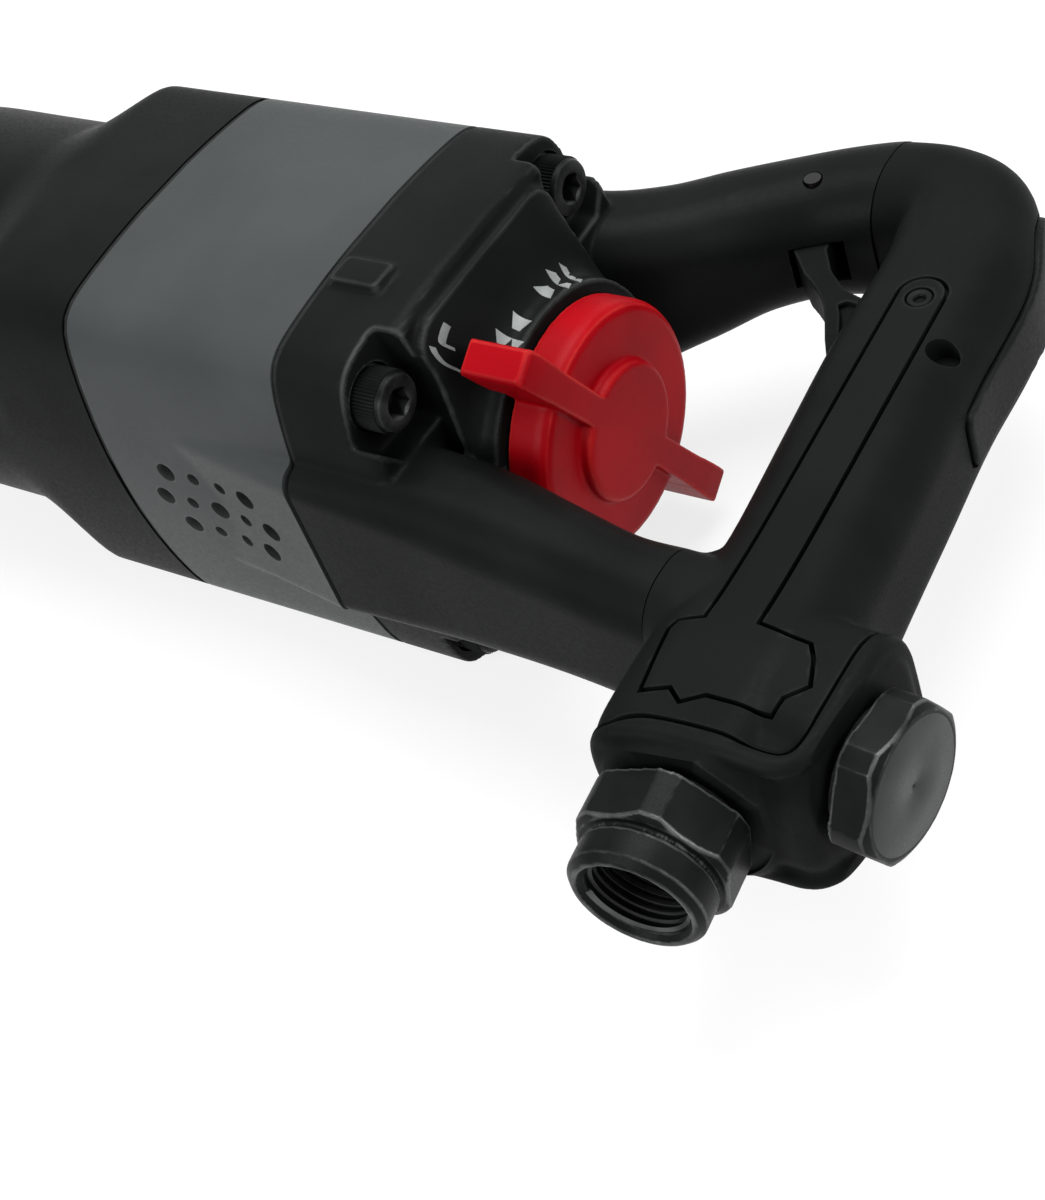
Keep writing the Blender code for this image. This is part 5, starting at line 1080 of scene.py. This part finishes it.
# %% Air inlet
INLET_TURN, INLET_FACE = 12, 14.6
THREAD_RADIUS = 10.3
INLET = [(0, 0), (12.0, 0), (12.5, 0.3), (13.8, 1.7), (13.8, 7.2), (13.2, 7.7), (13.2, 9.5), (13.2, 18),
         (10.5, 18), (10.5, 34), (0, 34)]
INLET_BORE = [(0, -1), (11.4, -1), (11.4, 0.2), (THREAD_RADIUS, 1.6), (THREAD_RADIUS, 15), (7, 15), (7, 36),
              (0, 36)]
inlet = hexagon("inlet_fitting", 8.5, 19.5, MOUTH, MOUTH_IN, INLET_TURN, INLET_FACE)
combine(inlet, [turned("inlet_body", INLET, MOUTH, MOUTH_IN)], "UNION")
carve(inlet, turned("inlet_bore", INLET_BORE, MOUTH, MOUTH_IN))
dress(cast(inlet, 0.35, 2), black_steel, "housing", "black_oxide_steel", "inlet_bushing")

# %% Inlet thread
THREAD_START = 1.8
tree, given = scatter_tree("pipe_thread", ("Turns", "Radius", "Length", "Crest"))
helix = {"Resolution": 48, "Rotations": given["Turns"], "Height": given["Length"],
         "Start Radius": given["Radius"], "End Radius": given["Radius"]}
spiral = add(tree, "GeometryNodeCurveSpiral", helix).outputs[0]
crest = add(tree, "GeometryNodeCurvePrimitiveCircle", {"Resolution": 3, "Radius": given["Crest"]})
run = {"Curve": spiral, "Profile Curve": crest.outputs["Curve"], "Fill Caps": True}
thread = add(tree, "GeometryNodeCurveToMesh", run).outputs[0]
lay = Vector((0, 0, 1)).rotation_difference(tool(*MOUTH_IN).normalized()).to_euler()
planted(tree, given, thread, black_steel, Rotation=tuple(lay))
thread_sizes = {"Turns": 6.0, "Radius": THREAD_RADIUS * MM, "Length": 11 * MM, "Crest": 0.75 * MM}
thread = grown("inlet_thread", [MOUTH + MOUTH_IN * THREAD_START], tree, thread_sizes)
dress(thread, black_steel, "housing", "black_oxide_steel")

# %% Oil plug
PLUG_TURN, PLUG_FACE, PLUG_STEM = 32, 14.4, 9
plug = hexagon("oil_filler_plug", 0, 8, PLUG, PLUG_IN, PLUG_TURN, PLUG_FACE)
combine(plug, [rod(PLUG_STEM, 7, 21, PLUG, PLUG_IN)], "UNION")
carve(plug, turned("centre_mark", [(0, 0.6), (1.0, -0.5), (0, -0.5)], PLUG, PLUG_IN, 24))
dress(cast(plug, 0.35, 2), black_steel, "housing", "black_oxide_steel", "oil_plug")
# The flat face gets the paler finish, a painted highlight.
face = turned("plug_face", [(0, 0.5), (0.9, -0.05), (13.6, -0.05), (13.9, 0.15), (0, 0.7)], PLUG, PLUG_IN)
dress(face, plug_face_highlight, "housing", "black_oxide_steel")

# %% [markdown]
# ## Trigger
# The trigger hangs from a pin in the upper arm and swings back into the grip. It is a plate with a shallow
# pocket in each side, cut from an outline that follows the finger, then cast lightly to break its edges.

# %% Trigger
BLADE_HALF, BLADE_CLEAR, HOLLOW_FLOOR = 5, 9, 3.2
EYE_RADIUS = 4.4
REAR_EDGE = ((21, 60), (25.5, 53.5), (31.3, 48.5), (37, 46.6), (41, 44.5), (43, 41), (43, 28), (41.4, 22.8))
FRONT_EDGE = ((40.2, 24.2), (37, 28.2), (34.4, 32.6), (31.3, 38.6), (29.4, 41.9), (27.5, 44.5), (25.7, 46.4),
              (23, 48.8), (19.8, 51.2), (13.8, 57.7))
HOLLOW = ((32.1, 43.6), (33.6, 45.1), (37.1, 44.6), (40.6, 42), (40.9, 36), (40.4, 33.7), (38.6, 30.7),
          (37.7, 33), (33.9, 41))
eye = [(PIVOT_X + EYE_RADIUS * math.cos(a), PIVOT_Z + EYE_RADIUS * math.sin(a))
       for a in np.radians(np.linspace(-35, 145, 9))]
blade = eye + [(KNOB - a, b) for a, b in REAR_EDGE + FRONT_EDGE]
trigger = plate("trigger_blade", blade, -BLADE_HALF, BLADE_HALF)
hollow = [(KNOB - a, b) for a, b in HOLLOW]
carve(trigger, plate("hollow", hollow, HOLLOW_FLOOR, BLADE_CLEAR),
      plate("hollow", hollow, -BLADE_CLEAR, -HOLLOW_FLOOR))
cast(trigger, 0.35, 3)
carve(trigger, rod(PIN_HOLE, -BLADE_CLEAR, BLADE_CLEAR, PIVOT, (0, 1, 0), 40))
dress(trigger, grip_moulding, "trigger", "black_moulding", "trigger", flat=40)

# %% [markdown]
# ## Drive end
# The square drive, its bushing and its seal are out of the photograph, but the tool is seen from all sides.
# The anvil is turned steel with a square milled on its end, a hole for the socket's pin, a flange that the
# bushing holds, and two ears that the hammers strike.

# %% Anvil and seal
SQUARE = ((0, 11.5, 11.5, 3.4), (-1.4, 12.7, 12.7, 2.6), (-22, 12.7, 12.7, 2.6), (-28.5, 12.7, 12.7, 2.6))
SHANK = [(0, -26.6), (15.6, -26.6), (17, -28), (17, -79.3), (24, -79.3), (24, -83.3), (17, -83.3),
         (17, -136.5), (0, -136.5)]
EARS = [(x, 4.5, 18.8, 0.6) for x in (-92.6, -136.2)]
SEAL = [(17.6, -33.6), (18.4, -33.3), (20.8, -33.3), (21.6, -33.8), (21.6, -37), (17.6, -37)]
SOCKET_PIN, SOCKET_PIN_HOLE = (-13.5, 0, 0), 2.8


def soften(body, width):
    """A small bevel on every hard edge."""
    step = body.modifiers.new("broken edges", "BEVEL")
    step.width = width * MM
    step.segments = 2
    step.limit_method = "ANGLE"
    step.angle_limit = math.radians(28)
    return settle(body)


anvil = beam("square_drive", SQUARE)
combine(anvil, [turned("shank", SHANK), beam("ears", EARS, turns=3)], "UNION")
carve(anvil, rod(SOCKET_PIN_HOLE, -20, 20, SOCKET_PIN, (0, 0, 1), 40))
dress(soften(anvil, 0.3), ground_steel, "anvil", "ground_steel", "anvil")
seal = turned("nose_lip_seal", SEAL)
dress(seal, gasket_paper, "housing", "seal_rubber", "nose_seal")

# %% [markdown]
# ## Pieces that keep their solid shape
# What is inside the tool is right as it is, so each solid keeps its shape and only gets its finish. The
# motor's liner, the trigger's pin and the inlet's screen have run in oil, so theirs are darker; the liner's
# dark tone is also painted shade where it shows through the exhaust holes.

# %% Finishes on the solids
finishes = {"black_oxide_steel": black_steel, "ground_steel": ground_steel, "bronze": bronze,
            "vane_phenolic": vane_laminate, "seal_rubber": gasket_paper, "gasket_fibre": gasket_paper,
            "black_moulding": grip_moulding, "black_paint": black_paint, "grey_paint": grey_paint,
            "red_plastic": red_nylon, "black_rubber": inlay_moulding}
# The liner's dark steel is partly painted shade, for where it shows through the exhaust holes.
oiled_and_shaded_parts = {"cylinder_liner": oil_and_shade_darkened_steel, "trigger_pin": oil_and_shade_darkened_steel, "inlet_screen": dull_bronze}
for part in frame["record"]["subparts"]:
    node = frame["nodes"][part["node"]]
    chosen = oiled_and_shaded_parts.get(part["node"], finishes[part["material_slot"]])
    if not node.material_slots:
        node.data.materials.append(chosen)
    for place in node.material_slots:
        place.material = chosen

# %% [markdown]
# ## Light and floor
# A large soft lamp overhead, two weaker ones beside and behind the tool and an even sky light it plainly.
# The sky counts as white to the camera and to reflections. The floor counts as mostly white to them, and the
# rest of it keeps the shadow.

# %% Lamps
LAMPS = (("overhead_lamp", 16, 0.9, (-0.25, -0.25, 1.0), (-0.28, 0, 0)),
         ("side_lamp", 7, 0.6, (-0.1, 0.9, 0.55), (-0.28, 0, 0)),
         ("rear_lamp", 5, 0.5, (-1.1, 0.0, 0.5), (-0.3, 0, 0)))


def lamp(name, power, size, place, aim):
    data = bpy.data.lights.new(name, "AREA")
    data.energy = power
    data.shape = "DISK"
    data.size = size
    made = bpy.data.objects.new(name, data)
    made.location = place
    made.rotation_mode = "QUATERNION"
    made.rotation_quaternion = (Vector(aim) - Vector(place)).to_track_quat("-Z", "Y")
    scene.collection.objects.link(made)


for values in LAMPS:
    lamp(*values)
print("lamps:", len(LAMPS))

# %% Sky and floor
SKY_STRENGTH = 0.45
FLOOR_HALF, FLOOR_WHITE = 4, 0.8


def seen(tree):
    """1 for the camera's rays and for those that a surface reflects or lets through, else 0."""
    rays = add(tree, "ShaderNodeLightPath").outputs
    straight = {0: rays["Is Camera Ray"], 1: rays["Is Transmission Ray"]}
    found = add(tree, "ShaderNodeMath", straight, operation="MAXIMUM").outputs[0]
    return add(tree, "ShaderNodeMath", {0: found, 1: rays["Is Glossy Ray"]}, operation="MAXIMUM").outputs[0]


sky = bpy.data.worlds.new("studio_sky")
sky.use_nodes = True
scene.world = sky
tree = sky.node_tree
tree.nodes.clear()
light = add(tree, "ShaderNodeBackground", {"Color": linear("#f4f4f4"), "Strength": SKY_STRENGTH}).outputs[0]
white = add(tree, "ShaderNodeBackground", {"Color": linear("#ffffff"), "Strength": 1.0}).outputs[0]
both = add(tree, "ShaderNodeMixShader", {0: seen(tree), 1: light, 2: white}).outputs[0]
add(tree, "ShaderNodeOutputWorld", {"Surface": both})

shape = bmesh.new()
for x, y in ((-1, -1), (1, -1), (1, 1), (-1, 1)):
    shape.verts.new((x * FLOOR_HALF, y * FLOOR_HALF, cad_box[0][2]))
shape.faces.new(shape.verts)
mesh = bpy.data.meshes.new("studio_floor")
shape.to_mesh(mesh)
shape.free()
floor = bpy.data.objects.new("studio_floor", mesh)
scene.collection.objects.link(floor)
pale = bpy.data.materials.new("pale_floor")
pale.use_nodes = True
tree = pale.node_tree
tree.nodes.clear()
share = add(tree, "ShaderNodeMath", {0: seen(tree), 1: FLOOR_WHITE}, operation="MULTIPLY").outputs[0]
matte = add(tree, "ShaderNodeBsdfDiffuse", {"Color": linear("#f2f2f2")}).outputs[0]
bright = add(tree, "ShaderNodeEmission", {"Color": linear("#ffffff"), "Strength": 1.0}).outputs[0]
both = add(tree, "ShaderNodeMixShader", {0: share, 1: matte, 2: bright}).outputs[0]
add(tree, "ShaderNodeOutputMaterial", {"Surface": both})
mesh.materials.append(pale)
floor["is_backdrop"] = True
scene.view_settings.view_transform = "Standard"
print("studio lit")

# %% [markdown]
# ## Sizes
# The finished look must not change the tool's size, so the boxes of the solid and of the dressed model are
# written side by side.

# %% Sizes
sizes = {"cad": [list(corner) for corner in cad_box], "visual": [list(corner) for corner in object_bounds()]}
print(sizes)
